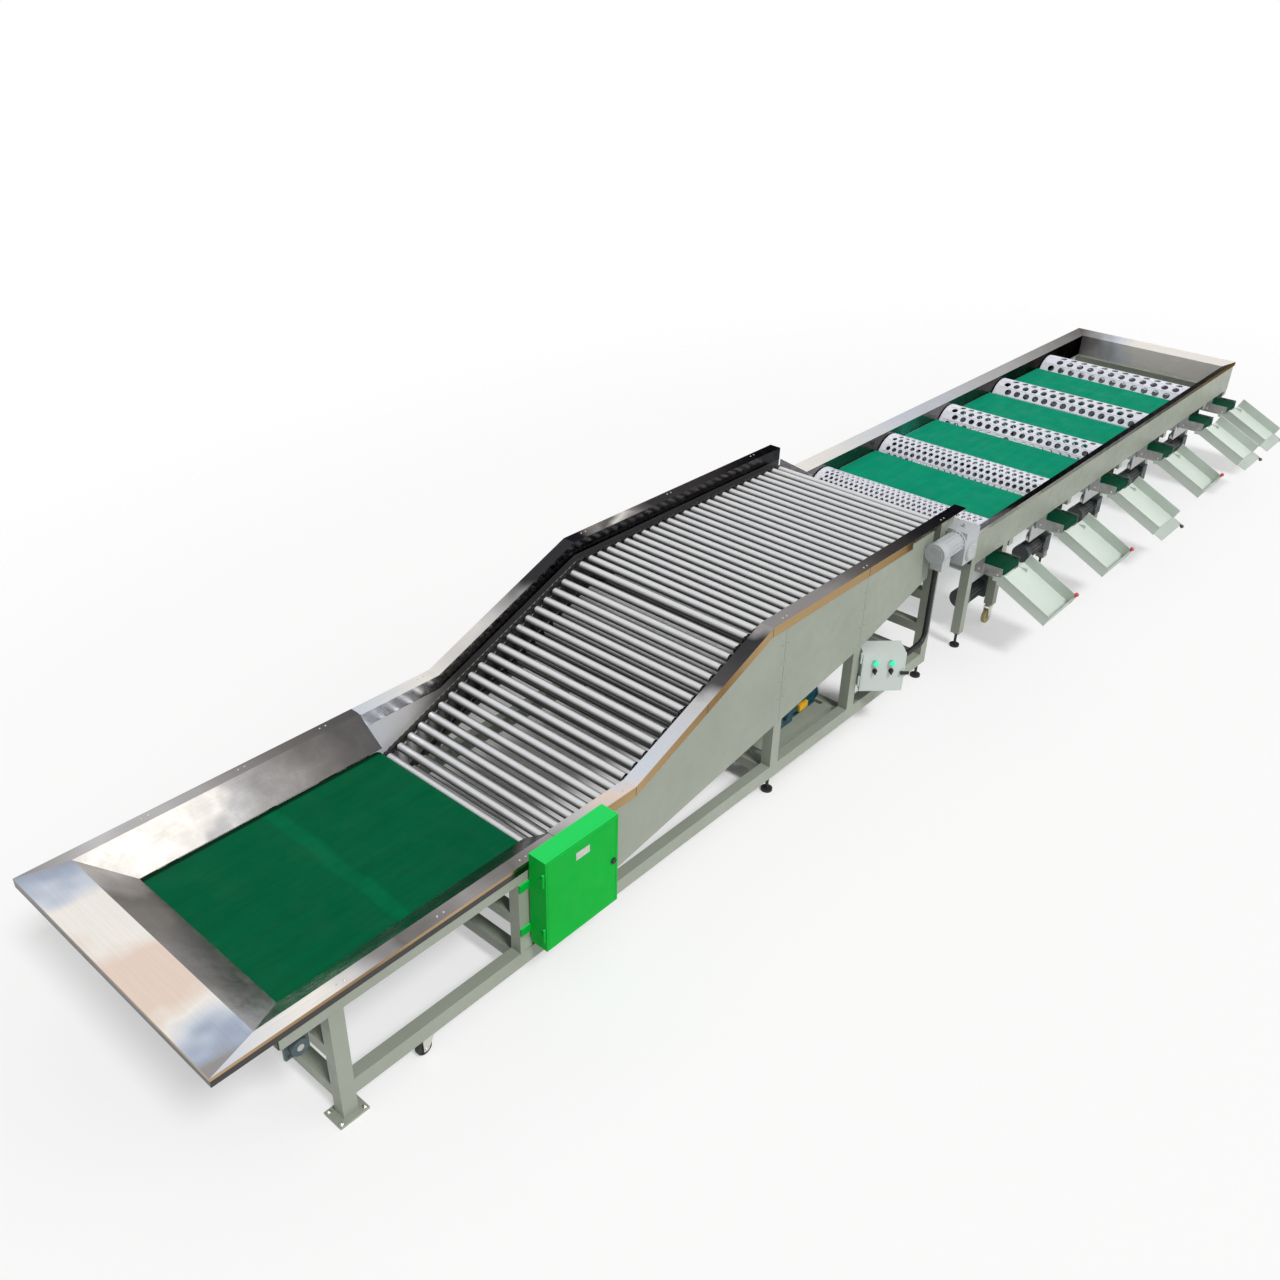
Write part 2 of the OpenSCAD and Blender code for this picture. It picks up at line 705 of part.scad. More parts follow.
hose_core = hose_radius - hose_rib;
gland = 24;
hose_end = box_corner[0] + (box_size + box_depth) * cos(box_turn);
hose_top = motor_z - terminal_drop;
module ribbed_hose(length) {
    ribs = floor(length / hose_pitch);
    step = length / ribs;
    rotate_extrude() polygon(concat([[0, 0]], [for (i = [0 : ribs - 1], k = [0 : 3])
        [k % 3 == 0 ? hose_core : hose_radius, (i + rib_shares[k]) * step]],
        [[hose_core, length], [0, length]]));
}
rib_shares = [0.05, 0.2, 0.7, 0.85];
bend_ribs = 9;
hose_sleeve = hose_radius + hose_rib / 2;
module conduit() {
    color([0.05, 0.05, 0.05]) line() {
        translate([hose_x, hose_y, hose_z + hose_bend]) ribbed_hose(hose_top - hose_z - hose_bend);
        translate([hose_end, hose_y, hose_z]) rotate([0, 90, 0]) ribbed_hose(hose_x - hose_bend - hose_end);
        translate([hose_x, hose_y, hose_z + hose_bend - 2 * hose_rib]) cylinder(h = 4 * hose_rib, r = hose_sleeve);
        rod_x([hose_y, hose_z], hose_sleeve, [hose_x - hose_bend - 2 * hose_rib, hose_x - hose_bend + 2 * hose_rib]);
        translate([hose_x - hose_bend, hose_y, hose_z + hose_bend]) rotate([90, 0, 0]) {
            rotate([0, 0, -90]) rotate_extrude(angle = 90) translate([hose_bend, 0]) circle(r = hose_core);
            for (i = [0 : bend_ribs - 1])
                rotate([0, 0, -90 + (i + 1 / 2) * 90 / bend_ribs]) translate([hose_bend, 0, 0])
                    rotate([90, 0, 0]) translate([0, 0, -hose_rib]) cylinder(h = 2 * hose_rib, r = hose_radius);
        }
    }
}

hinge_tall = 34;
hinge_play = 1.5;
hinge_out = hinge_radius + hinge_play;
hinge_strap = 18;
strap_half = 2;
module hinge_fixed(z) {
    translate([-hinge_out, -door / 2 - clear, z]) cylinder(h = hinge_tall, r = hinge_radius);
    block([-hinge_out - strap_half, -hinge_out + strap_half], [-door / 2, hinge_strap], [z, z + hinge_tall]);
    block([-hinge_out - strap_half, 0], [over, hinge_strap], [z, z + hinge_tall]);
}
module hinge_moving(z) {
    low = z + hinge_tall + clear;
    translate([-hinge_out, -door / 2 - clear, low]) cylinder(h = hinge_tall, r = hinge_radius);
    block([-hinge_out, over], [-door / 2 - clear - strap_half, -door / 2 - clear + strap_half],
        [low, low + hinge_tall]);
}
module shell(size) {
    difference() {
        cube(size);
        translate([box_sheet, -over, box_sheet])
            cube([size[0] - 2 * box_sheet, size[1] + over - box_sheet, size[2] - 2 * box_sheet]);
    }
}
cabinet_front = -frame_out - box_gap - cabinet_depth;
cabinet_rail = 40;
rail_shares = [0.12, 0.62];
hinge_shares = [0.12, 0.74];
lock_in = 30;
lock_radius = 9;
lock_head = 15;
lock_slot = 3;
module cabinet_place() {
    line() translate([cabinet_x, cabinet_front, cabinet_floor]) children();
}
module cabinet_body() {
    color([0.0, 0.66, 0.22]) {
        cabinet_place() {
            shell([cabinet_width, cabinet_depth, cabinet_height]);
            for (s = hinge_shares)
                hinge_fixed(s * cabinet_height);
        }
        line() for (s = rail_shares)
            block([leg_cabinet, cabinet_x + cabinet_width], [-frame_out - box_gap, -frame_out],
                [cabinet_floor + s * cabinet_height, cabinet_floor + s * cabinet_height + cabinet_rail]);
    }
}
module cabinet_door() {
    color([0.0, 0.66, 0.22]) cabinet_place() {
        difference() {
            block([0, cabinet_width], [-door - clear, -clear], [0, cabinet_height]);
            translate([cabinet_width - lock_in, 0, cabinet_height / 2])
                rod_y([0, 0], lock_radius + fit, [-door - over, over]);
        }
        for (s = hinge_shares)
            hinge_moving(s * cabinet_height);
    }
}
module lock_plug(head) {
    difference() {
        union() {
            rod_y([0, 0], lock_radius, [-door - clear, -clear]);
            rod_y([0, 0], head, [-door - 2 * clear - screw_head, -door - 2 * clear]);
            rod_y([0, 0], lock_radius, [-door - 2 * clear, -door]);
        }
        block([-head, head], [-door - 2 * clear - screw_head - over, -door - screw_head + lock_slot],
            [-lock_slot / 2, lock_slot / 2]);
    }
}
module cabinet_lock() {
    color([0.1, 0.1, 0.1]) cabinet_place() translate([cabinet_width - lock_in, 0, cabinet_height / 2])
        lock_plug(lock_head);
}

button_shares = [0.3, 0.68];
button_row_share = 0.77;
knob_row_share = 0.55;
button_deep = 6;
bezel = 4;
stem = 8;
latch_in = 18;
latch_length = 42;
latch_half = 8;
box_arm = 62;
module box_place() {
    line() translate(box_corner) rotate([0, 0, -box_turn]) children();
}
module control_box() {
    color([0.72, 0.75, 0.73]) {
        box_place() {
            shell([box_size, box_depth, box_size]);
            for (s = hinge_shares)
                hinge_fixed(s * box_size);
            for (s = button_shares)
                translate([s * box_size, box_depth / 2, -gland]) cylinder(h = gland, r = gland / 2);
        }
        line() {
            rod_x([hose_y, hose_z], gland, [hose_end - gland * 2, hose_end]);
            block([leg_box + leg, leg_box + leg + box_arm], [-frame_out + box_gap, -frame_out + box_gap + box_stand],
                [box_floor + box_size / 4, box_floor + box_size * 3 / 4]);
        }
    }
}
module control_door() {
    color([0.75, 0.78, 0.76]) box_place() {
        difference() {
            union() {
                block([0, box_size], [-door - clear, -clear], [0, box_size]);
                for (s = button_shares)
                    translate([s * box_size, 0, button_row_share * box_size])
                        rod_y([0, 0], button_radius + bezel, [-door - clear - bezel, -door]);
            }
            for (s = button_shares) {
                translate([s * box_size, 0, button_row_share * box_size])
                    rod_y([0, 0], button_radius + clear, [-door - bezel - over, over]);
                translate([s * box_size, 0, knob_row_share * box_size])
                    rod_y([0, 0], stem + fit, [-door - over, over]);
            }
            translate([box_size - latch_in, 0, box_size / 2]) rod_y([0, 0], lock_radius + fit, [-door - over, over]);
        }
        for (s = hinge_shares)
            hinge_moving(s * box_size);
    }
}
module control_latch() {
    color([0.12, 0.12, 0.12]) box_place() translate([box_size - latch_in, 0, box_size / 2]) {
        rod_y([0, 0], lock_radius, [-door - 2 * clear - screw_head, -clear]);
        block([-latch_half, latch_length], [-door - 2 * clear - 2 * screw_head, -door - 2 * clear - over],
            [-latch_half, latch_half]);
    }
}
module push_button(k) {
    color([0.05, 0.6, 0.2]) box_place() translate([button_shares[k] * box_size, 0, button_row_share * box_size])
        rod_y([0, 0], button_radius, [-door - clear - button_height, -button_deep]);
}
module selector(k) {
    face = -door - 2 * clear;
    color([0.08, 0.08, 0.08]) box_place() translate([button_shares[k] * box_size, 0, knob_row_share * box_size]) {
        rod_y([0, 0], stem, [face - over, -button_deep]);
        rod_y([0, 0], knob_radius, [face - knob_height / 3, face]);
        block([-bezel, bezel], [face - knob_height, face - over], [-knob_radius, knob_radius]);
    }
}

under_y = -base_far;
under_base = rail_floor + tube + base_plate;
under_z = under_base + motor_radius + screw_head;
under_x = leg_box - base_margin;
module under_motor() {
    color([0.08, 0.35, 0.36]) line() {
        block([under_x - motor_length - gear_length, under_x - motor_length],
            [under_y - gear_depth / 2, under_y + gear_depth / 2], [under_base, under_z + motor_radius]);
        finned_motor(under_y, under_z, [under_x - motor_length, under_x], motor_radius);
        block([under_x - motor_length, under_x - screw_head], [under_y - terminal_half, under_y + terminal_half],
            [under_base, under_base + 2 * screw_head]);
        rod_y([under_x - motor_length - gear_length / 2, under_z], shaft_radius,
            [under_y - gear_depth / 2 - gland, under_y]);
        translate([under_x - motor_length / 2, under_y, under_z])
            block([-terminal_wide, terminal_wide], [-terminal_wide, terminal_wide], [0, motor_radius + gland]);
    }
}

module levelling_foot(x, y) {
    translate([x, y, 0]) {
        cylinder(h = pad_height, r = pad_radius);
        cylinder(h = rail_floor, r = pad_screw);
        translate([0, 0, rail_floor - pad_height]) cylinder(h = pad_height, r = pad_screw * 2, $fn = 6);
    }
}
table_leg = table_start + screw_head;
module feet() {
    color([0.1, 0.1, 0.1]) line() pair() {
        for (x = [leg_middle, leg_end])
            levelling_foot(x + leg / 2, frame_in + tube / 2);
        levelling_foot(table_leg + beam / 2, frame_in + tube / 2);
        for (k = [1 : 4])
            levelling_foot(station(k) + station_leg, leg_row + beam / 2);
    }
}
leg_row = 570;

fork_sheet = 5;
fork_half = 14;
fork_disc = 24;
module castor_place(x, side) {
    line() translate([x, side * (frame_in + tube / 2), 0]) children();
}
module fork(r, top) {
    plate_top = top - clear - 2 * fork_sheet;
    translate([0, 0, plate_top]) cylinder(h = 2 * fork_sheet, r = fork_disc);
    block([-trail - fork_half, fork_disc], [-wheel_width / 2 - over - fork_sheet, wheel_width / 2 + over + fork_sheet],
        [plate_top - fork_sheet, plate_top]);
    pair() wall_y([[-fork_disc / 2 - trail, r - fork_half], [fork_disc / 2 - trail, r - fork_half],
        [fork_disc, plate_top], [-trail - fork_half, plate_top]],
        [wheel_width / 2 + over, wheel_width / 2 + over + fork_sheet]);
    rod_y([-trail, r], castor_bore, [-wheel_width / 2 - over - 2 * fork_sheet, wheel_width / 2 + over + 2 * fork_sheet]);
}
tyre_share = 0.92;
hub_width_share = 0.8;
disc_share = 0.7;
module castor_wheel(r) {
    half = wheel_width / 2;
    translate([-trail, 0, r]) rotate([90, 0, 0]) rotate_extrude() polygon([[castor_bore + fit, -half],
        [castor_bore * 2, -half], [castor_bore * 2, -half * disc_share], [r * hub_width_share, -half * disc_share],
        [r * hub_width_share, -half], [r * tyre_share, -half], [r, -half * disc_share], [r, half * disc_share],
        [r * tyre_share, half], [r * hub_width_share, half], [r * hub_width_share, half * disc_share],
        [castor_bore * 2, half * disc_share], [castor_bore * 2, half], [castor_bore + fit, half]]);
}
module feed_fork_near() {
    color([0.6, 0.6, 0.6]) castor_place(feed_castor_x, -1) fork(feed_wheel, rail_floor);
}
module feed_fork_far() {
    color([0.6, 0.6, 0.6]) castor_place(feed_castor_x, 1) fork(feed_wheel, rail_floor);
}
module feed_wheel_near() {
    color([0.15, 0.15, 0.15]) castor_place(feed_castor_x, -1) castor_wheel(feed_wheel);
}
module feed_wheel_far() {
    color([0.15, 0.15, 0.15]) castor_place(feed_castor_x, 1) castor_wheel(feed_wheel);
}
module table_fork_near() {
    color([0.6, 0.6, 0.6]) castor_place(table_castor_x, -1) fork(table_wheel, table_castor_top);
}
module table_fork_far() {
    color([0.6, 0.6, 0.6]) castor_place(table_castor_x, 1) fork(table_wheel, table_castor_top);
}
module table_wheel_near() {
    color([0.75, 0.7, 0.5]) castor_place(table_castor_x, -1) castor_wheel(table_wheel);
}
module table_wheel_far() {
    color([0.75, 0.7, 0.5]) castor_place(table_castor_x, 1) castor_wheel(table_wheel);
}

post_hang = 180;
module grader_frame() {
    y = [plate_in, frame_out];
    cross = [-frame_out, frame_out];
    color([0.64, 0.66, 0.61]) line() {
        pair() {
            block([table_start, table_close], y, [beam_low, beam_low + beam]);
            block([table_leg, table_leg + beam], [frame_in, frame_out], [rail_floor, beam_low]);
            block([table_castor_x - beam / 2, table_castor_x + beam / 2], [frame_in, frame_out],
                [table_castor_top, beam_low]);
            for (k = [1 : 4])
                translate([station(k) + station_leg, 0, 0])
                    block([-beam / 2, beam / 2], [leg_row, leg_row + beam], [rail_floor, beam_low - beam]);
        }
        block([table_leg, table_leg + beam], cross, [beam_low - beam, beam_low]);
        for (k = [0 : 4])
            translate([station(k) + station_leg, 0, 0])
                block([-beam / 2, beam / 2], cross, [beam_low - beam, beam_low]);
        block([table_close - beam, table_close], cross, [beam_low - beam, beam_low]);
        translate([station(0) + station_leg, 0, 0])
            block([-beam / 2, beam / 2], [-leg_row - beam, -leg_row], [post_hang, beam_low - beam]);
    }
}

module grader_rails() {
    color([0.82, 0.82, 0.8]) line() pair() intersection() {
        run_x([[rail_inner, wall_low], [rail_inner, table_wall], [rim_half, table_rim],
            [rim_half, table_rim - table_lip], [rim_half - sheet, table_rim - table_lip],
            [rim_half - sheet, table_rim - 2 * sheet], [plate_in, table_wall - sheet / 2], [plate_in, wall_low]],
            [table_start, table_end]);
        linear_extrude(height = table_rim + over) polygon([[table_start, rail_inner],
            [table_end - table_flare, rail_inner], [table_end, rim_half], [table_start, rim_half]]);
    }
}
module grader_end_wall() {
    wall_x = table_end - table_flare;
    color([0.82, 0.82, 0.8]) line() intersection() {
        wall_y([[wall_x, wall_low], [wall_x, table_wall], [table_end, table_rim],
            [table_end, table_rim - table_lip], [table_end - sheet, table_rim - table_lip],
            [table_end - sheet, table_rim - 2 * sheet], [wall_x + sheet, table_wall - sheet / 2],
            [wall_x + sheet, wall_low]], [-rim_half, rim_half]);
        linear_extrude(height = table_rim + over) polygon([[wall_x, -rail_inner], [wall_x, rail_inner],
            [table_end, rim_half], [table_end, -rim_half]]);
    }
}
module grader_panels() {
    color([0.64, 0.67, 0.62]) line() pair()
        block([table_start, table_close], [frame_out, frame_out + panel],
            [table_panel, table_rim - table_lip / 2]);
}

module drum(k) {
    rows = drum_rows[k];
    wide = 2 * drum_in * tan(180 / rows) - seam;
    count = drum_across[k];
    length = 2 * (drum_half - drum_ring);
    slat = length + 2 * over;
    pitch = length / count;
    hole = hole_share * min(wide, pitch);
    color([0.86, 0.86, 0.9]) line() translate([station(k), 0, drum_axis]) {
        for (i = [0 : rows - 1])
            rotate([0, i * 360 / rows, 0]) translate([0, 0, drum_in]) linear_extrude(height = drum_wall)
                difference() {
                    square([wide, slat], center = true);
                    for (j = [1 : count - 1])
                        translate([0, (j - count / 2 + (i % 2) / 2 - 1 / 4) * pitch]) circle(d = hole, $fn = 32);
                }
        pair() translate([0, drum_half, 0]) rotate([90, 0, 0]) linear_extrude(height = drum_ring) difference() {
            circle(r = drum_radius + over);
            circle(r = drum_in - drum_wall);
        }
    }
}

bearer_angle = 36;
bearer_reach = drum_radius + over + bearer + clear;
hanger = 6;
hanger_half = 172;
hanger_low = 380;
window_half = 128;
window_low = 470;
window_high = 610;
bearer_pin = 10;
module drum_bearers() {
    color([0.35, 0.37, 0.37]) line() for (k = [0 : 4]) translate([station(k), 0, 0]) {
        pair() for (i = [-1, 1])
            translate([i * bearer_reach * sin(bearer_angle), 0, drum_axis - bearer_reach * cos(bearer_angle)]) {
                rod_y([0, 0], bearer, [drum_half - drum_ring + over + side_gap, drum_half]);
                rod_y([0, 0], bearer_pin, [drum_half, plate_in - hanger]);
            }
        block([-hanger_half, hanger_half], [plate_in - hanger, plate_in], [hanger_low, wall_low]);
        difference() {
            block([-hanger_half, hanger_half], [-plate_in, hanger - plate_in], [hanger_low, wall_low]);
            block([-window_half, window_half], [-plate_in - over, hanger - plate_in + over],
                [window_low, window_high]);
        }
    }
}

function deck_from(k) = station(k) + deck_reach + transfer_pulley + belt_thick;
function deck_to(k) = station(k + 1) - deck_reach - transfer_pulley - belt_thick;
module transfer_belts() {
    color([0.0, 0.5, 0.38]) line() for (k = [0 : 3])
        loop_y([deck_from(k), deck_pulley], [deck_to(k), deck_pulley], transfer_pulley + clear,
            belt_thick - clear, [-drum_half, drum_half]);
}
cross_far = 600;
function cross_ends() = [cross_far - cross_pulley - belt_thick, cross_pulley + belt_thick - cross_reach];
module cross_belts() {
    ends = cross_ends();
    color([0.0, 0.35, 0.22]) line() for (k = [0 : 5])
        translate([station(k) - cross_width / 2, 0, 0]) rotate([90, 0, 90])
            linear_extrude(height = cross_width) difference() {
                loop_2d([ends[1], cross_z], [ends[0], cross_z], cross_pulley + belt_thick);
                loop_2d([ends[1], cross_z], [ends[0], cross_z], cross_pulley + clear);
            }
}
module belt_rollers() {
    bed = deck - belt_thick - clear;
    color([0.55, 0.55, 0.57]) line() {
        for (k = [0 : 3]) {
            for (x = [deck_from(k), deck_to(k)]) {
                rod_y([x, deck_pulley], transfer_pulley, [-drum_half, drum_half]);
                rod_y([x, deck_pulley], bearer_pin, [-rail_inner, rail_inner]);
            }
            block([deck_from(k) + transfer_pulley, deck_to(k) - transfer_pulley], [-rail_inner, rail_inner],
                [bed - bed_thick, bed]);
        }
        for (k = [0 : 5], y = cross_ends()) {
            rod_x([y, cross_z], cross_pulley, [station(k) - cross_width / 2, station(k) + cross_width / 2]);
            rod_x([y, cross_z], bearer_pin, [station(k) - cheek_in, station(k) + cheek_in]);
        }
    }
}
cheek_in = cross_width / 2 + side_gap;
cheek_out = cheek_in + side_gap;
cheek_down = 60;
cheek_rise = 15;
cheek_low = cross_top - cheek_down;
cheek_high = cross_top + cheek_rise;
module cross_plates() {
    far = [plate_in - hanger, plate_in - hanger, plate_in - hanger, plate_in - hanger, plate_in - hanger, frame_out];
    color([0.75, 0.77, 0.76]) line() for (k = [0 : 5]) translate([station(k), 0, 0])
        for (m = [0, 1]) mirror([m, 0, 0]) {
            block([cheek_in, cheek_out], [-cross_reach, far[k]], [cheek_low, cheek_high]);
            block([cheek_out, cheek_out + hanger], [-frame_out, -frame_in], [cheek_low, beam_low]);
            if (k == 5)
                block([cheek_out, cheek_out + hanger], [frame_in, frame_out], [cheek_low, beam_low]);
        }
}

module station_motors() {
    color([0.12, 0.14, 0.15]) line() for (k = [0 : 4]) translate([station(k) + station_leg - beam / 2, 0, 0]) {
        z = post_hang + gear_margin;
        y = gear_depth / 2 + side_gap - frame_in;
        block([-gear_length * box_share, 0], [y - gear_depth / 2, y + gear_depth / 2],
            [z - motor_radius, z + motor_radius]);
        finned_motor(y, z, [-gear_length * box_share - motor_length, -gear_length * box_share], motor_radius);
    }
}
box_share = 0.6;

tray_half = tray_width / 2;
strap_deep = 30;
strap_back = 60;
module tray_place(k) {
    translate([station(k), -tray_y, tray_z]) rotate([tray_slope, 0, 0]) children();
}
module chutes() {
    color([0.8, 0.86, 0.82]) line() for (k = [0 : 5]) {
        tray_place(k) {
            block([-tray_half, tray_half], [-tray_length, 0], [-tray_sheet, 0]);
            for (m = [0, 1]) mirror([m, 0, 0]) difference() {
                block([tray_half - tray_sheet, tray_half], [-gate_out - barrel, 0], [-tray_sheet, tray_wall]);
                translate([0, -gate_out, barrel]) rod_x([0, 0], pin_radius + fit,
                    [tray_half - tray_sheet - over, tray_half + over]);
            }
        }
        translate([station(k), 0, 0]) for (m = [0, 1]) mirror([m, 0, 0])
            block([cheek_out, cheek_out + side_gap], [-tray_y - strap_back, -tray_y + strap_back],
                [tray_z - strap_deep, tray_z]);
    }
}
gate_shares = [0, 0, 1, 0, 1, 1];
gate_half = tray_half - tray_sheet - clear * 2;
knob_share = 0.86;
module gate(k) {
    color(gate_shares[k] == 0 ? [0.7, 0.1, 0.1] : [0.25, 0.22, 0.2]) line() tray_place(k)
        translate([0, -gate_out, barrel]) rotate([gate_shares[k] * 90, 0, 0]) {
            rod_x([0, 0], pin_radius, [-tray_half, tray_half]);
            rod_x([0, 0], barrel - clear, [-gate_half, gate_half]);
            block([-gate_half, gate_half], [-tray_sheet / 2, tray_sheet / 2], [0, gate_height]);
            translate([knob_share * gate_half, 0, 0]) {
                cylinder(h = knob_reach, r = pin_radius);
                translate([0, 0, knob_reach]) sphere(r = ball);
            }
        }
}

slide_gap = 12;
slide_reach = 140;
slide_top = 958;
slide_low = 752;
slide_from = [elevator_end + slide_gap, slide_top];
slide_to = [drum_x - slide_reach, slide_low];
slide_wall = 60;
module discharge_slide() {
    thick = [0, 2 * sheet];
    color([0.8, 0.8, 0.78]) line() {
        wall_y([slide_from, slide_to, slide_to - thick, slide_from - thick], [-rail_inner, rail_inner]);
        pair() wall_y([slide_from, slide_to, slide_to + [0, slide_wall / 2], slide_from + [0, slide_wall]],
            [rail_inner - sheet, rail_inner]);
        pair() block([elevator_end - strap_back, slide_from[0] + strap_back], [rail_inner, plate_in],
            [slide_top - strap_deep / 2, slide_top + strap_deep / 2]);
    }
}

module button_a() {
    push_button(0);
}
module button_b() {
    push_button(1);
}
module selector_a() {
    selector(0);
}
module selector_b() {
    selector(1);
}
module drum_1() {
    drum(0);
}
module drum_2() {
    drum(1);
}
module drum_3() {
    drum(2);
}
module drum_4() {
    drum(3);
}
module drum_5() {
    drum(4);
}
module gate_1() {
    gate(0);
}
module gate_2() {
    gate(1);
}
module gate_3() {
    gate(2);
}
module gate_4() {
    gate(3);
}
module gate_5() {
    gate(4);
}
module gate_6() {
    gate(5);
}

feed_frame();
hopper_front();
hopper_sides();
infeed_bed();
infeed_belt();
infeed_head_roller();
infeed_tail_roller();
bearings();
elevator_rails();
elevator_plates();
elevator_panels();
rollers();
chains();
head_shaft();
tail_shaft();
elevator_gearmotor();
conduit();
cabinet_body();
cabinet_door();
cabinet_lock();
control_box();
control_door();
control_latch();
button_a();
button_b();
selector_a();
selector_b();
under_motor();
feet();
feed_fork_near();
feed_wheel_near();
feed_fork_far();
feed_wheel_far();
grader_frame();
grader_rails();
grader_end_wall();
grader_panels();
drum_1();
drum_2();
drum_3();
drum_4();
drum_5();
drum_bearers();
transfer_belts();
cross_belts();
cross_plates();
station_motors();
chutes();
gate_1();
gate_2();
gate_3();
gate_4();
gate_5();
gate_6();
discharge_slide();
table_fork_near();
table_wheel_near();
table_fork_far();
table_wheel_far();
belt_rollers();
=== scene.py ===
import json
import math

import bmesh
import bpy
from mathutils import Matrix, Vector

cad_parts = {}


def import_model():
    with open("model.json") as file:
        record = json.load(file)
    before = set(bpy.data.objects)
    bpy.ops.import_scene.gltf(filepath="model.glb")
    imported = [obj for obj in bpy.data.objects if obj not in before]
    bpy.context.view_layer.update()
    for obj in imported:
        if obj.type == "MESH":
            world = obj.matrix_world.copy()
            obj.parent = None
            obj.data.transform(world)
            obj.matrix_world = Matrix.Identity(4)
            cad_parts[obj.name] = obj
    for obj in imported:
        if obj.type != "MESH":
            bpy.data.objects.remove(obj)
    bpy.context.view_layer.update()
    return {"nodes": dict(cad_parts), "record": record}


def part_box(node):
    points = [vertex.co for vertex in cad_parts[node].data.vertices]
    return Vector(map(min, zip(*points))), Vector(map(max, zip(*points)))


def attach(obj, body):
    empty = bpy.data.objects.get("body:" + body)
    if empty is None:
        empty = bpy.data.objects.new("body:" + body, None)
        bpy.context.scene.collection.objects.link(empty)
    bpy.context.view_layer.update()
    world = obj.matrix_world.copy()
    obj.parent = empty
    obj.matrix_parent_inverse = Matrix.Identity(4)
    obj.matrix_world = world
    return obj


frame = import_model()
MM = 0.001
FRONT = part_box("hopper_front")
ZERO_X = FRONT[1].x
ZERO_Y = (FRONT[0].y + FRONT[1].y) / 2


def at(x, y, z):
    """A point of the machine in millimetres: x from the start of the belt, y from its middle line."""
    return Vector((ZERO_X + x * MM, ZERO_Y + y * MM, z * MM))


# Materials


class Shader:
    """A node material around one Principled shader, with textures in object coordinates."""

    def __init__(self, name, rough, metallic=0.0, coat=0.0):
        self.mat = bpy.data.materials.new(name)
        self.mat.use_nodes = True
        self.tree = self.mat.node_tree
        self.bsdf = self.tree.nodes["Principled BSDF"]
        self.bsdf.inputs["Metallic"].default_value = metallic
        self.bsdf.inputs["Roughness"].default_value = rough
        self.bsdf.inputs["Coat Weight"].default_value = coat
        source = self.tree.nodes.new("ShaderNodeTexCoord")
        self.coord = source.outputs["Object"]
        self.normal = source.outputs["Normal"]
        self.height = None

    def link(self, a, b):
        """Joins one socket to another."""
        self.tree.links.new(a, b)

    def noise(self, scale, detail=3.0, stretch=(1, 1, 1), rough=0.5):
        """Noise in object coordinates, drawn out along the axes with a small stretch value."""
        mapping = self.tree.nodes.new("ShaderNodeMapping")
        mapping.inputs["Scale"].default_value = stretch
        self.link(self.coord, mapping.inputs["Vector"])
        tex = self.tree.nodes.new("ShaderNodeTexNoise")
        tex.inputs["Scale"].default_value = scale
        tex.inputs["Detail"].default_value = detail
        tex.inputs["Roughness"].default_value = rough
        self.link(mapping.outputs["Vector"], tex.inputs["Vector"])
        return tex.outputs["Fac"]

    def ramp(self, value, stops):
        """A colour from (place, colour) stops."""
        node = self.tree.nodes.new("ShaderNodeValToRGB")
        elements = node.color_ramp.elements
        while len(elements) < len(stops):
            elements.new(0.5)
        for element, (place, colour) in zip(elements, stops):
            element.position = place
            element.color = (*colour, 1)
        self.link(value, node.inputs["Fac"])
        return node.outputs["Color"]

    def span(self, value, low, high, start=0.3, end=0.7):
        """Maps a value that runs from start to end onto low to high."""
        node = self.tree.nodes.new("ShaderNodeMapRange")
        for key, number in (("From Min", start), ("From Max", end), ("To Min", low), ("To Max", high)):
            node.inputs[key].default_value = number
        self.link(value, node.inputs["Value"])
        return node.outputs["Result"]

    def blend(self, factor, a, b, mode="MIX"):
        """Two colours mixed by a factor; each may be a socket or a plain value."""
        node = self.tree.nodes.new("ShaderNodeMix")
        node.data_type = "RGBA"
        node.blend_type = mode
        if isinstance(factor, float):
            node.inputs[0].default_value = factor
        else:
            self.link(factor, node.inputs[0])
        for socket, value in ((node.inputs[6], a), (node.inputs[7], b)):
            if isinstance(value, tuple):
                socket.default_value = (*value, 1)
            else:
                self.link(value, socket)
        return node.outputs[2]

    def parts(self, vector):
        """The x, y and z of a vector socket."""
        node = self.tree.nodes.new("ShaderNodeSeparateXYZ")
        self.link(vector, node.inputs[0])
        return node.outputs[0], node.outputs[1], node.outputs[2]

    def sum(self, operation, a, b):
        """One step of arithmetic on sockets or plain numbers."""
        node = self.tree.nodes.new("ShaderNodeMath")
        node.operation = operation
        for socket, value in zip(node.inputs, (a, b)):
            if isinstance(value, float):
                socket.default_value = value
            else:
                self.link(value, socket)
        return node.outputs[0]

    def tones(self, value, stops):
        """A ramp over a length in metres, from (millimetres, colour as seen) pairs."""
        first, last = stops[0][0], stops[-1][0]
        share = self.span(value, 0.0, 1.0, first * MM, last * MM)
        return self.ramp(share, [((x - first) / (last - first), linear(*c)) for x, c in stops])

    def colour(self, value):
        self.link(value, self.bsdf.inputs["Base Color"])

    def rough(self, value):
        self.link(value, self.bsdf.inputs["Roughness"])

    def bump(self, value, strength, distance):
        """Adds relief over any that is there already."""
        node = self.tree.nodes.new("ShaderNodeBump")
        node.inputs["Strength"].default_value = strength
        node.inputs["Distance"].default_value = distance
        self.link(value, node.inputs["Height"])
        if self.height:
            self.link(self.height, node.inputs["Normal"])
        self.height = node.outputs["Normal"]
        self.link(self.height, self.bsdf.inputs["Normal"])


# A face looks along an axis where that share of its normal does
FLAT = 0.9


def shade(colour, factor):
    return tuple(min(1.0, c * factor) for c in colour)


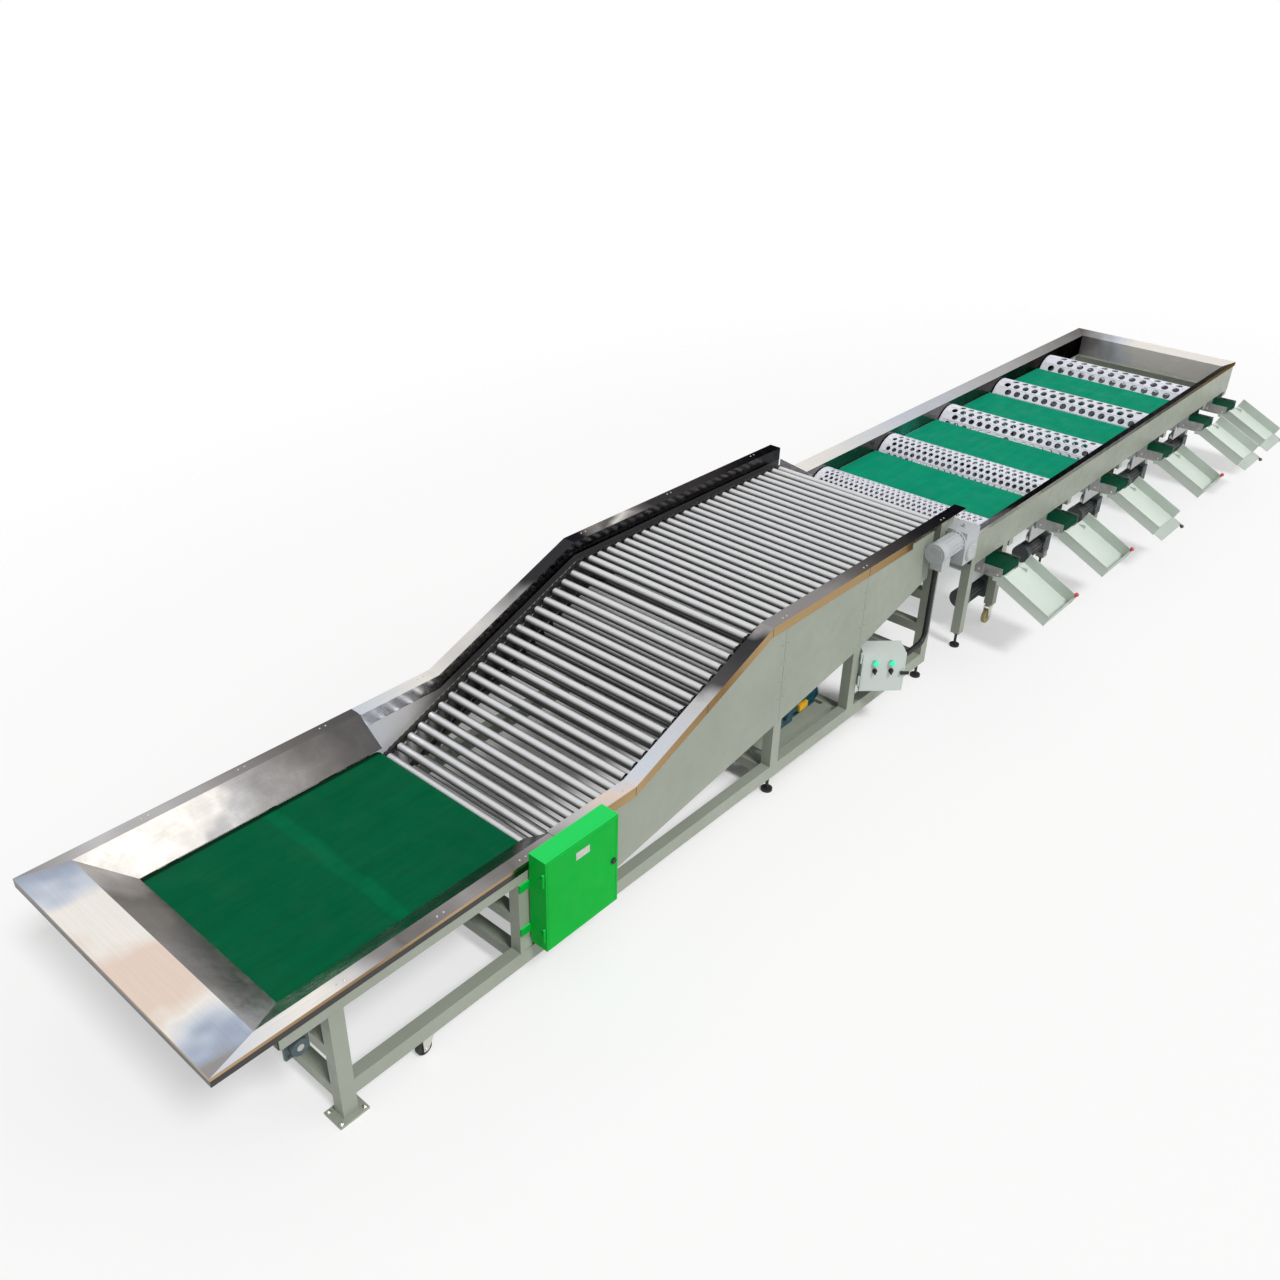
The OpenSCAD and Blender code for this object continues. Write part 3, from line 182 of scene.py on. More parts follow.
def linear(r, g, b):
    """A colour as seen, 0 to 255, as the shader takes it."""
    def one(c):
        c /= 255
        return c / 12.92 if c <= 0.04045 else ((c + 0.055) / 1.055) ** 2.4
    return one(r), one(g), one(b)


def paint(name, colour, rough=0.42, vary=0.07, dust=0.16, coat=0.0, shine=0.4, oiled=None, top=None):
    """Sprayed paint: slow tone changes, fine orange peel, thin dust and patches of changing roughness.

    A plate beside a chain takes painted sheen and painted shade along x, listed as (millimetres, colour as
    seen) pairs, on the faces that look to the middle of the machine. Top is a paler tone painted on faces
    that look up, a painted highlight.
    """
    s = Shader(name, rough, coat=coat)
    s.bsdf.inputs["Specular IOR Level"].default_value = shine
    tone = s.ramp(s.noise(2.2, 4), [(0.3, shade(colour, 1 - vary)), (0.7, shade(colour, 1 + vary))])
    grey = tuple(0.5 * c + 0.5 * 0.42 for c in colour)
    film = s.span(s.noise(9.0, 8, rough=0.65), 0.0, dust, 0.48, 0.78)
    tone = s.blend(film, tone, grey)
    # Painted sheen and painted shade along x on the faces that look inward
    if oiled:
        middle = s.sum("SUBTRACT", s.parts(s.coord)[1], ZERO_Y)
        inward = s.sum("MULTIPLY", s.parts(s.normal)[1], middle)
        along = s.sum("SUBTRACT", s.parts(s.coord)[0], ZERO_X)
        tone = s.blend(s.sum("LESS_THAN", inward, -FLAT / 2), tone, s.tones(along, oiled))
    # Painted highlight: faces that look up take the paler top tone
    if top:
        tone = s.blend(s.sum("GREATER_THAN", s.parts(s.normal)[2], FLAT), tone, top)
    s.colour(tone)
    s.rough(s.span(s.noise(14.0, 5), rough - 0.08, rough + 0.14))
    s.bump(s.noise(900.0, 2), 0.08, 0.0004)
    return s.mat


def polished(name, axis, near, far=None, slope=None, wall=None, lip=None, nose=None, grain=(0.02, 1, 1),
             edge=0.8, metallic=1.0, drop=0.0):
    """Polished stainless sheet: painted reflections and painted shade as tones along one axis for its faces,
    with fine grain and wipe marks.

    Each list holds (millimetres, colour as seen) pairs: near and far are the top faces on the two sides,
    slope the inclined ones, wall the upright inner ones, lip the outer folded edge and nose the front edge.
    Below the height drop, the folded edges take a dark painted shade.
    """
    s = Shader(name, 0.2, metallic=metallic)
    s.bsdf.inputs["Specular Tint"].default_value = (edge, edge, edge, 1)
    x, y, z = s.parts(s.coord)
    turned_x, turned_y, turned_z = s.parts(s.normal)
    # Painted shade: lip and nose below the drop height take the dark DUSK tone
    shaded_fold = s.sum("LESS_THAN", z, drop * MM)
    middle = s.sum("SUBTRACT", y, ZERO_Y)
    along = s.sum("SUBTRACT", x, ZERO_X) if axis == "x" else middle
    drift = s.span(s.noise(1.7, 3, rough=0.6), -0.22, 0.22, 0.25, 0.75)
    along = s.sum("ADD", along, drift)
    other_side = s.sum("GREATER_THAN", middle, 0.0)
    sign = s.span(other_side, -1.0, 1.0, 0.0, 1.0)
    outward = s.sum("MULTIPLY", turned_y, sign)
    # The tone lists are painted reflections and painted shade, picked per face by its normal and side
    tone = s.tones(along, near)
    if far:
        tone = s.blend(other_side, tone, s.tones(along, far))
    if slope:
        tone = s.blend(s.sum("LESS_THAN", turned_z, FLAT), tone, s.tones(along, slope))
    if wall:
        tone = s.blend(s.sum("LESS_THAN", outward, -FLAT), tone, s.tones(along, wall))
    if lip:
        folded = s.blend(shaded_fold, s.tones(along, lip), linear(*DUSK))
        tone = s.blend(s.sum("GREATER_THAN", outward, FLAT), tone, folded)
    if nose:
        folded = s.blend(shaded_fold, s.tones(along, nose), linear(*DUSK))
        tone = s.blend(s.sum("LESS_THAN", turned_x, -FLAT), tone, folded)
    fine = s.noise(160.0, 4, grain)
    streak = s.ramp(fine, [(0.3, (0.94, 0.94, 0.94)), (0.7, (1, 1, 1))])
    s.colour(s.blend(1.0, tone, streak, "MULTIPLY"))
    s.rough(s.span(s.noise(7.0, 6, rough=0.7), 0.14, 0.34, 0.35, 0.75))
    s.bump(fine, 0.05, 0.0006)
    s.bump(s.noise(3.0, 2), 0.12, 0.004)
    return s.mat


def belting(name, colour, rough=0.6, splice=None, shade_edge_from=None):
    """Coated conveyor belting: fine weave under the coat, drag lines, scuffs and a pressed splice.

    Past the given distance in millimetres on the far side, its edge is darkened: painted shade of the gap
    beside the wall.
    """
    s = Shader(name, rough)
    s.bsdf.inputs["Specular IOR Level"].default_value = 0.05
    drag = s.noise(26.0, 6, (0.12, 1.0, 1.0), 0.6)
    tone = s.ramp(drag, [(0.25, shade(colour, 0.86)), (0.55, colour), (0.8, shade(colour, 1.14))])
    chalk = s.span(s.noise(5.0, 8, rough=0.7), 0.0, 0.07, 0.5, 0.8)
    pale = tuple(0.8 * c + 0.2 * 0.4 for c in colour)
    tone = s.blend(chalk, tone, pale)
    if splice:
        along = s.sum("SUBTRACT", s.parts(s.coord)[0], ZERO_X)
        place = s.sum("ADD", along, s.span(s.noise(4.0, 4), -0.02, 0.02))
        low, high, strength = splice
        edge = 12.0
        inside = s.sum("MULTIPLY", s.span(place, 0.0, strength, (low - edge) * MM, (low + edge) * MM),
                       s.span(place, 1.0, 0.0, (high - edge) * MM, (high + edge) * MM))
        worn = s.sum("MULTIPLY", inside, s.span(s.noise(9.0, 5), 0.3, 1.0))
        tone = s.blend(worn, tone, shade(colour, 1.7))
    # Painted shade along the far edge, where the hopper wall meets the belt
    if shade_edge_from:
        soft = 14.0
        off = s.sum("SUBTRACT", s.parts(s.coord)[1], ZERO_Y)
        dark = s.span(off, 0.0, 0.92, shade_edge_from * MM, (shade_edge_from + soft) * MM)
        tone = s.blend(dark, tone, shade(colour, 0.1))
    s.colour(tone)
    s.rough(s.span(s.noise(8.0, 5), rough - 0.14, rough + 0.12))
    weave = s.tree.nodes.new("ShaderNodeTexChecker")
    weave.inputs["Scale"].default_value = 500.0
    s.link(s.coord, weave.inputs["Vector"])
    s.bump(weave.outputs["Fac"], 0.12, 0.0005)
    s.bump(s.noise(1.6, 2), 0.15, 0.006)
    return s.mat


def steel(name, colour, rough=0.34, grime=0.3, turned=(1, 1, 1)):
    """Plain machined or plated steel with turning marks and a little oil and dust."""
    s = Shader(name, rough, metallic=1.0)
    fine = s.noise(220.0, 3, turned)
    tone = s.ramp(fine, [(0.3, shade(colour, 0.9)), (0.7, shade(colour, 1.08))])
    film = s.span(s.noise(18.0, 7, rough=0.65), 0.0, grime, 0.48, 0.75)
    s.colour(s.blend(film, tone, shade(colour, 0.45)))
    s.rough(s.span(s.noise(30.0, 4), rough - 0.08, rough + 0.16))
    s.bump(fine, 0.06, 0.0004)
    return s.mat


def plated(name, highlight_tone, light, side, under, rough=0.36, metallic=0.35):
    """Plated roller tube: a painted highlight along the side that leans to the light and painted shade round
    its sides and underside, with faint turning marks.
    """
    s = Shader(name, rough, metallic=metallic)
    # Painted light and shade by the normal: brightest where the face leans along this direction
    lean_x, lean_z = -0.47, 0.88
    turned_x, _, turned_z = s.parts(s.normal)
    facing = s.sum("ADD", s.sum("MULTIPLY", turned_x, lean_x), s.sum("MULTIPLY", turned_z, lean_z))
    stops = zip((0.0, 0.34, 0.76, 0.97), (under, side, light, highlight_tone))
    tone = s.ramp(s.span(facing, 0.0, 1.0, 0.1, 1.0), [(place, linear(*c)) for place, c in stops])
    marks = s.ramp(s.noise(18.0, 3, (0.3, 1.0, 0.3)), [(0.3, (0.94, 0.94, 0.94)), (0.7, (1, 1, 1))])
    s.colour(s.blend(1.0, tone, marks, "MULTIPLY"))
    s.rough(s.span(s.noise(5.0, 3), rough - 0.03, rough + 0.06))
    return s.mat


def plastic(name, colour, rough=0.35, coat=0.0, glow=0.0):
    """Moulded plastic or rubber: slight mottling, fine moulded grain, handling marks."""
    s = Shader(name, rough, coat=coat)
    s.bsdf.inputs["Emission Color"].default_value = (*colour, 1)
    s.bsdf.inputs["Emission Strength"].default_value = glow
    tone = s.ramp(s.noise(40.0, 4), [(0.3, shade(colour, 0.88)), (0.7, shade(colour, 1.12))])
    worn = s.span(s.noise(70.0, 6, rough=0.7), 0.0, 0.14, 0.52, 0.8)
    s.colour(s.blend(worn, tone, tuple(0.7 * c + 0.12 for c in colour)))
    s.rough(s.span(s.noise(60.0, 3), rough - 0.08, rough + 0.12))
    s.bump(s.noise(1500.0, 2), 0.1, 0.0003)
    return s.mat


# Grain across the machine, paint tones, and the tones of painted reflection, painted highlight and painted
# shade on polished sheets and roller tubes, as seen
ACROSS = (1.0, 0.02, 1.0)
FRAME_TONE = linear(146, 152, 139)
PANEL_TONE = linear(145, 151, 138)
CHUTE_TONE = linear(203, 213, 204)
GATE_TONE = linear(172, 182, 174)
SHEEN = (240, 235, 228)
ROSE = (230, 210, 196)
COOL = (208, 213, 222)
BLUE = (167, 178, 196)
# Painted highlight tone of the roller tubes
ROLLER_HIGHLIGHT = (222, 223, 225)
TUBE = (168, 168, 169)
SILVER = (196, 194, 194)
GREY = (152, 149, 148)
SLATE = (112, 109, 107)
DUSK = (82, 80, 80)
DARK = (56, 56, 59)
TAN = (192, 164, 124)
BROWN = (150, 122, 88)
# Height in millimetres below which the folded rim edges take a painted shade
RIM_FOLD = 674.0
# The stops of each sheet are painted reflections and painted shade, light and dark fields along it
HOPPER_FRONT = polished(
    "hopper_front", "y", grain=ACROSS,
    near=[(-730, GREY), (-660, BLUE), (-590, COOL), (-500, SHEEN), (-400, ROSE), (60, ROSE), (230, SHEEN),
          (400, SHEEN), (480, COOL), (590, BLUE), (730, GREY)],
    slope=[(-560, SILVER), (-380, GREY), (0, GREY), (330, SLATE), (560, SILVER)],
    nose=[(-730, TAN), (0, BROWN), (730, SLATE)], drop=RIM_FOLD)
HOPPER_SIDES = polished(
    "hopper_sides", "x",
    near=[(-400, COOL), (60, SHEEN), (240, SILVER), (520, SLATE), (800, GREY), (1080, SLATE), (1300, GREY)],
    far=[(-400, GREY), (0, SILVER), (420, GREY), (800, SLATE), (1300, DUSK)],
    slope=[(-300, SILVER), (-40, SHEEN), (330, SHEEN), (390, SILVER), (620, GREY), (900, SLATE),
           (1300, DUSK)],
    lip=[(-400, TAN), (300, BROWN), (700, TAN), (1300, BROWN)], drop=RIM_FOLD)
ELEVATOR_RAILS = polished(
    "elevator_rails", "x", edge=0.3,
    near=[(1280, GREY), (1500, SILVER), (1720, ROSE), (1840, COOL), (2230, SILVER), (2330, DUSK),
          (2760, DARK), (2830, GREY), (3300, GREY), (3600, SLATE), (3950, DUSK), (4560, DARK)],
    far=[(1280, COOL), (1780, SHEEN), (2150, SILVER), (2350, GREY), (2470, DARK), (2760, DARK), (2830, SLATE),
         (2990, GREY), (3070, SLATE), (3160, SHEEN), (3260, GREY), (3450, DUSK), (3900, DUSK), (4560, DARK)],
    wall=[(1280, COOL), (1680, SILVER), (1880, SLATE), (2500, DARK), (4560, DUSK)],
    lip=[(1280, BROWN), (1800, TAN), (2300, BROWN), (2800, TAN), (3600, TAN), (4560, BROWN)])
TABLE_RAILS = polished(
    "table_rails", "x", edge=0.12,
    near=[(5000, COOL), (5300, SILVER), (5520, SLATE), (6000, DARK), (9300, DARK), (9800, DUSK)],
    far=[(5000, SHEEN), (6500, COOL), (8200, SILVER), (9800, GREY)],
    wall=[(5000, GREY), (6100, SLATE), (6400, COOL), (6700, GREY), (8200, SLATE), (9800, DUSK)],
    lip=[(5000, SHEEN), (7400, SILVER), (9800, TAN)])
TABLE_END = polished(
    "table_end", "y", grain=ACROSS, metallic=0.15,
    near=[(-730, SHEEN), (100, SHEEN), (330, COOL), (520, GREY), (730, DUSK)])
SLIDE = polished("slide", "y", grain=ACROSS, near=[(-650, SILVER), (0, GREY), (650, GREY)])
MATERIALS = {
    "frame_paint": paint("frame_paint", FRAME_TONE),
    "panel_paint": paint("panel_paint", PANEL_TONE, rough=0.38),
    "stainless": ELEVATOR_RAILS,
    "plain_steel": steel("plain_steel", (0.52, 0.52, 0.52), turned=(1, 0.05, 1)),
    "bearing_paint": paint("bearing_paint", linear(62, 78, 82), dust=0.3),
    # The infeed belt's far edge, past 466 mm, takes a painted shade
    "infeed_belt": belting("infeed_belt", linear(0, 88, 54), rough=0.72, splice=(585.0, 660.0, 0.5),
                           shade_edge_from=466.0),
    "transfer_belt": belting("transfer_belt", linear(0, 140, 106), rough=0.7),
    "outlet_belt": belting("outlet_belt", linear(2, 60, 40)),
    # The roller tubes carry a painted highlight and painted shade
    "roller_metal": plated("roller_metal", ROLLER_HIGHLIGHT, TUBE, SLATE, DUSK),
    "chain_steel": steel("chain_steel", (0.09, 0.085, 0.08), rough=0.42, grime=0.6),
    "motor_light": paint("motor_light", linear(172, 176, 178), dust=0.22),
    "motor_teal": paint("motor_teal", linear(16, 70, 84), rough=0.32, dust=0.26, coat=0.2),
    "motor_dark": paint("motor_dark", linear(54, 60, 62), dust=0.35),
    "hose_black": plastic("hose_black", linear(28, 28, 30), rough=0.48),
    # The paler top tone is a painted highlight on the cabinet's up-facing faces
    "cabinet_green": paint("cabinet_green", linear(0, 170, 54), rough=0.45, dust=0.02, shine=0.08,
                           top=linear(40, 212, 96)),
    "box_paint": paint("box_paint", linear(200, 208, 204), dust=0.1),
    "black_plastic": plastic("black_plastic", linear(22, 22, 24)),
    "button_green": plastic("button_green", linear(20, 176, 96), rough=0.2, coat=0.5),
    "foot_black": plastic("foot_black", linear(26, 26, 28), rough=0.55),
    "zinc": steel("zinc", (0.66, 0.65, 0.6), rough=0.3),
    "wheel_black": plastic("wheel_black", linear(34, 34, 34), rough=0.6),
    "wheel_yellow": plastic("wheel_yellow", linear(206, 190, 138), rough=0.55),
    "drum_white": paint("drum_white", linear(226, 226, 236), rough=0.4, dust=0.12),
    "chute_paint": paint("chute_paint", CHUTE_TONE, dust=0.1),
    "gate_red": paint("gate_red", GATE_TONE, dust=0.1),
    "gate_dark": paint("gate_dark", GATE_TONE, dust=0.1),
}
KNOB_RED = plastic("knob_red", linear(206, 40, 52), rough=0.22, coat=0.5)
KNOB_DARK = plastic("knob_dark", linear(58, 40, 36), rough=0.25, coat=0.4)
LENS = plastic("lens_green", linear(20, 214, 160), rough=0.15, coat=0.6, glow=0.5)
# Painted sheen near the belt end and painted shade along the chain, on the plates' inner faces
PLATE_PAINT = paint("plate_paint", FRAME_TONE,
                    oiled=[(1250, COOL), (1560, SILVER), (1740, SLATE), (1900, DARK), (4700, DARK)])
YELLOW = plastic("plug_yellow", linear(226, 172, 30), rough=0.3)

SHEETS = {"elevator_plates": PLATE_PAINT, "hopper_front": HOPPER_FRONT, "hopper_sides": HOPPER_SIDES,
          "grader_rails": TABLE_RAILS, "grader_end_wall": TABLE_END, "discharge_slide": SLIDE}


def dress_nodes():
    """Gives each CAD node the material of its slot, and the bent sheets their own."""
    for part in frame["record"]["subparts"]:
        mesh = frame["nodes"][part["node"]].data
        mesh.materials.clear()
        mesh.materials.append(MATERIALS[part["material_slot"]])
    for node, sheet in SHEETS.items():
        frame["nodes"][node].data.materials[0] = sheet


# Small forms
UP = (0, 0, 1)
TO_OPERATOR = (0, -1, 0)
SMOOTH_ANGLE = math.radians(35)
SUNK = -0.2


class Build:
    """Collects small turned, bevelled and swept forms of one material in one mesh."""

    def __init__(self):
        self.bm = bmesh.new()

    def ring(self, place, side, other, radius, steps, lift=Vector((0, 0, 0))):
        """Points round a place in metres, with the radius and the lift in millimetres."""
        points = []
        for i in range(steps):
            a = 2 * math.pi * i / steps
            spoke = side * math.cos(a) + other * math.sin(a)
            points.append(self.bm.verts.new(place + (lift + spoke * radius) * MM))
        return points

    def skin(self, rings):
        """Faces from each ring of points to the next, closed at both ends."""
        steps = len(rings[0])
        for a, b in zip(rings, rings[1:]):
            for i in range(steps):
                j = (i + 1) % steps
                self.bm.faces.new((a[i], a[j], b[j], b[i]))
        self.bm.faces.new(list(reversed(rings[0])))
        self.bm.faces.new(rings[-1])

    def turned(self, place, axis, profile, steps=20):
        """A form turned about axis from (radius, height) pairs in millimetres, closed at both ends."""
        axis = Vector(axis).normalized()
        side = axis.orthogonal().normalized()
        other = axis.cross(side)
        self.skin([self.ring(place, side, other, radius, steps, axis * height) for radius, height in profile])

    def slab(self, low, high, bevel, turn=Matrix.Identity(4)):
        """A box between two corners in metres with rounded edges, turned as a matrix says."""
        place = Matrix.Translation((low + high) / 2) @ Matrix.Diagonal((*(high - low), 1))
        made = bmesh.ops.create_cube(self.bm, size=1.0, matrix=turn @ place)
        edges = list(dict.fromkeys(e for v in made["verts"] for e in v.link_edges))
        bmesh.ops.bevel(self.bm, geom=edges, offset=bevel * MM, segments=2, affect="EDGES", profile=0.6)

    def swept(self, points, radius, steps=8):
        """A rod of round section in millimetres along points in metres."""
        rings = []
        for i, p in enumerate(points):
            ahead = (points[min(i + 1, len(points) - 1)] - points[max(i - 1, 0)]).normalized()
            side = ahead.orthogonal().normalized()
            rings.append(self.ring(p, side, ahead.cross(side), radius, steps))
        self.skin(rings)

    def hex_bolt(self, place, axis, size):
        """A washer, a hexagon head and the end of its screw, for a thread of that size."""
        washer = [(size * 1.05, SUNK), (size * 1.05, size * 0.16), (size * 0.95, size * 0.2)]
        head = [(size * 0.88, size * 0.18), (size * 0.9, size * 0.7), (size * 0.75, size * 0.82)]
        screw = [(size * 0.45, size * 0.8), (size * 0.45, size * 1.0), (size * 0.35, size * 1.1)]
        for profile, steps in ((washer, 20), (head, 6), (screw, 12)):
            self.turned(place, axis, profile, steps)

    def pan_screw(self, place, axis, size):
        """A low domed screw head with a driving recess."""
        dome = [(size, SUNK), (size, size * 0.15), (size * 0.85, size * 0.42), (size * 0.55, size * 0.55)]
        recess = [(size * 0.4, size * 0.55), (size * 0.34, size * 0.3)]
        self.turned(place, axis, dome + recess, 14)

    def finish(self, name, material, body):
        """Turns the collected forms into one piece of the scene that rides on a body."""
        mesh = bpy.data.meshes.new(name)
        bmesh.ops.recalc_face_normals(self.bm, faces=self.bm.faces)
        self.bm.to_mesh(mesh)
        self.bm.free()
        mesh.shade_smooth()
        mesh.set_sharp_from_angle(angle=SMOOTH_ANGLE)
        mesh.materials.append(material)
        obj = bpy.data.objects.new(name, mesh)
        bpy.context.scene.collection.objects.link(obj)
        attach(obj, body)


# Places of the machine in millimetres
ROOT = "line_frame"
SIDES = (-1, 1)
FRAME_OUT = 720.0
FRAME_IN = 660.0
TUBE_MIDDLE = (FRAME_IN + FRAME_OUT) / 2
RIM = 728.0
PANEL_FACE = 723.0
RIM_TOP = 690.0
RAIL_TOP = 1100.0
KINK_X = 1780.0
BEND_X = 2795.0
PANEL_SEAMS = (2925.0, 3690.0)
FIRST_STATION = 5330.0
STATION_STEP = 915.0
LAST_STEP = 580.0
DRUMS = 5
STATIONS = [FIRST_STATION + STATION_STEP * k for k in range(DRUMS)]
STATIONS.append(STATIONS[-1] + LAST_STEP)


def rail_height(x):
    """Top of the elevator rail at x."""
    share = min(1.0, max(0.0, (x - KINK_X) / (BEND_X - KINK_X)))
    return RIM_TOP + share * (RAIL_TOP - RIM_TOP)


def floor_bolts():
    """Anchor nuts on the two floor plates."""
    b = Build()
    plate_x, spread_x, spread_y, top, thread = 110.0, 56.0, 42.0, 12.0, 10.0
    for side in SIDES:
        for i in SIDES:
            for j in SIDES:
                b.hex_bolt(at(plate_x + i * spread_x, side * TUBE_MIDDLE + j * spread_y, top), UP, thread)
    b.finish("floor_bolts", MATERIALS["zinc"], ROOT)


def rim_screws():
    """Screw pairs in the rim flange over the frame posts, and along the elevator rails."""
    b = Build()
    inset, gap, size = 28.0, 34.0, 5.0
    posts = (160.0, 640.0, 1090.0, 1340.0, 1700.0, 2925.0, 3680.0, 4525.0)
    for side in SIDES:
        for x in posts:
            for i in SIDES:
                b.pan_screw(at(x + i * gap / 2, side * (RIM - inset), rail_height(x)), UP, size)
    b.finish("rim_screws", MATERIALS["zinc"], ROOT)


def lip_joints():
    """Butt joints where the folded lips of the rim meet, as thin dark strips."""
    b = Build()
    wide, proud, below, bevel = 1.6, 0.4, 1.0, 0.15
    rail_start, rise_joint, hopper_drop, rail_drop = 1281.0, 2290.0, 45.0, 52.0
    joints = [(rail_start, hopper_drop)]
    joints += [(x, rail_drop) for x in (KINK_X, rise_joint, BEND_X, PANEL_SEAMS[1])]
    for side in SIDES:
        for x, drop in joints:
            top = rail_height(x)
            y = sorted((side * RIM, side * (RIM + proud)))
            b.slab(at(x - wide, y[0], top - drop), at(x + wide, y[1], top - below), bevel)
    b.finish("lip_joints", MATERIALS["chain_steel"], ROOT)


def panel_rivets():
    """Domed fixings beside the seams of the elevator panels and along the table panels."""
    b = Build()
    size, off = 4.5, 23.0
    seam_low, seam_high, seam_step = 620, 1020, 110
    table_start, table_end, table_step, table_rows = 5060, 9760, 300, (636.0, 672.0)
    for side in SIDES:
        face = side * PANEL_FACE
        out = (0, side, 0)
        for x in [seam + i * off for seam in PANEL_SEAMS for i in SIDES]:
            for z in range(seam_low, seam_high, seam_step):
                b.pan_screw(at(x, face, z), out, size)
        for x in range(table_start, table_end, table_step):
            for z in table_rows:
                b.pan_screw(at(x, face, z), out, size)
    b.finish("panel_rivets", MATERIALS["panel_paint"], ROOT)


def tube_plugs():
    """Black end plugs of the open frame tubes."""
    b = Build()
    thick, rim_gap, bevel = 5.0, 3.0, 2.0
    dimple = [(14, -1), (14, 0.8), (11, 1.2), (10, 0.2)]
    # Place, bottom, top and outward direction of each tube end
    ends = [(-130.0, 585.0, 645.0, -1), (4560.0, 105.0, 185.0, 1), (5000.0, 625.0, 685.0, -1)]
    for side in SIDES:
        wide = sorted((side * (FRAME_IN + rim_gap), side * (FRAME_OUT - rim_gap)))
        for x, low, high, out in ends:
            xs = sorted((x, x + out * thick))
            b.slab(at(xs[0], wide[0], low + rim_gap), at(xs[1], wide[1], high - rim_gap), bevel)
            b.turned(at(x + out * thick, side * TUBE_MIDDLE, (low + high) / 2), (out, 0, 0), dimple)
    b.finish("tube_plugs", MATERIALS["black_plastic"], ROOT)


def roller_caps():
    """Pressed end caps with a bearing hub at both ends of every carrying roller."""
    b = Build()
    end, slack, near = 580.0, 0.5, 30.0 * MM
    cap = [(22.0, -0.5), (22.0, 0.8), (20.5, 1.6), (15.0, 1.2)]
    hub = [(13.0, 3.4), (8.0, 3.6), (7.4, 5.0)]
    centres = {}
    for v in frame["nodes"]["rollers"].data.vertices:
        x, y, z = v.co
        if abs(abs((y - ZERO_Y) / MM) - end) < slack:
            key = next((c for c in centres if abs(c[0] - x) < near and abs(c[1] - z) < near), (x, z))
            centres.setdefault(key, []).append((x, z))
    for places in centres.values():
        x, z = ((min(values) + max(values)) / 2 for values in zip(*places))
        for side in SIDES:
            b.turned(Vector((x, ZERO_Y + side * end * MM, z)), (0, side, 0), cap + hub, 16)
    b.finish("roller_caps", MATERIALS["chain_steel"], ROOT)


def cabinet_details():
    """Door fold and blank plate of the green cabinet."""
    low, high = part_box("cabinet_door")
    door_width, fold, lip, fold_bevel = 450.0 * MM, 12.0 * MM, 1.4 * MM, 0.6
    left, right = high.x - door_width + fold, high.x - fold
    bottom, top = low.z + fold, high.z - fold
    front, back = low.y - lip, low.y + lip
    b = Build()
    for z in (bottom, top):
        b.slab(Vector((left, front, z - lip)), Vector((right, back, z + lip)), fold_bevel)
    for x in (left, right):
        b.slab(Vector((x - lip, front, bottom)), Vector((x + lip, back, top)), fold_bevel)
    b.finish("cabinet_fold", MATERIALS["cabinet_green"], "cabinet_door")
    p = Build()
    wide, tall, down, screw_inset = 42.0 * MM, 20.0 * MM, 78.0 * MM, 5.0 * MM
    plate_bevel, screw = 0.8, 2.4
    x, z = high.x - door_width / 2, high.z - down
    p.slab(Vector((x - wide, front, z - tall)), Vector((x + wide, back, z + tall)), plate_bevel)
    for i in SIDES:
        p.pan_screw(Vector((x + i * (wide - screw_inset), front, z)), TO_OPERATOR, screw)
    p.finish("cabinet_plate", MATERIALS["zinc"], "cabinet_door")


# The control box stands turned on its post
BOX_TURN = Matrix.Rotation(math.radians(-45.0), 4, "Z")
BOX_CORNER = at(3725.0, -735.0, 295.0)
BOX_PLACE = Matrix.Translation(BOX_CORNER) @ BOX_TURN
BOX_OUT = BOX_TURN @ Vector(TO_OPERATOR)
DOOR_FACE = -16.3


def on_box(x, y, z):
    """A point of the control box, in millimetres from its lower left front corner."""
    return BOX_PLACE @ Vector((x * MM, y * MM, z * MM))


def control_details():
    """Lamp lenses, bezel rings, door fold and glands of the control box."""
    column_x, lens_z, knob_z, button_out = (75.0, 170.0), 192.5, 137.5, 14.0
    stem = [(13.6, -6.0), (13.8, -4.4)]
    dome = [(17.2, -4.2), (17.4, 0.2), (16.2, 2.4), (12.0, 4.0), (6.0, 4.8), (1.0, 5.0)]
    for x, body in zip(column_x, ("button_a", "button_b")):
        b = Build()
        b.turned(on_box(x, DOOR_FACE - button_out, lens_z), BOX_OUT, stem + dome, 24)
        b.finish(body + "_lens", LENS, body)
    r = Build()
    bezel = [(19.5, -0.3), (19.5, 2.6), (18.2, 4.6), (16.0, 4.9), (15.0, 3.0), (14.8, 2.0)]
    knob_ring = [(18.0, -0.3), (18.0, 0.12), (17.5, 0.2), (16.0, 0.2), (15.6, 0.1)]
    for x in column_x:
        r.turned(on_box(x, DOOR_FACE, lens_z), BOX_OUT, bezel, 28)
        r.turned(on_box(x, DOOR_FACE, knob_z), BOX_OUT, knob_ring, 28)
    r.finish("button_bezels", MATERIALS["zinc"], "control_door")
    f = Build()
    fold, lip, size, bevel = 8.0, 1.0, 250.0, 0.5
    near, far = fold, size - fold
    for low, high in (((near, near), (far, near)), ((near, far), (far, far)),
                      ((near, near), (near, far)), ((far, near), (far, far))):
        f.slab(Vector((low[0] - lip, DOOR_FACE - lip, low[1] - lip)) * MM,
               Vector((high[0] + lip, DOOR_FACE + lip, high[1] + lip)) * MM, bevel, BOX_PLACE)
    f.finish("control_fold", MATERIALS["box_paint"], "control_door")
    g = Build()
    gland_y, nut_z, cone_z = 65.0, -2.0, -24.0
    nut = [(15.0, -10.0), (16.5, -9.0), (16.5, 0.0), (15.0, 1.0)]
    cone = [(9.0, -16.0), (10.5, -14.0), (12.8, -4.0), (12.8, 6.0)]
    for x in column_x:
        g.turned(on_box(x, gland_y, nut_z), UP, nut, 6)
        g.turned(on_box(x, gland_y, cone_z), UP, cone, 18)
    g.finish("gland_nuts", MATERIALS["black_plastic"], ROOT)


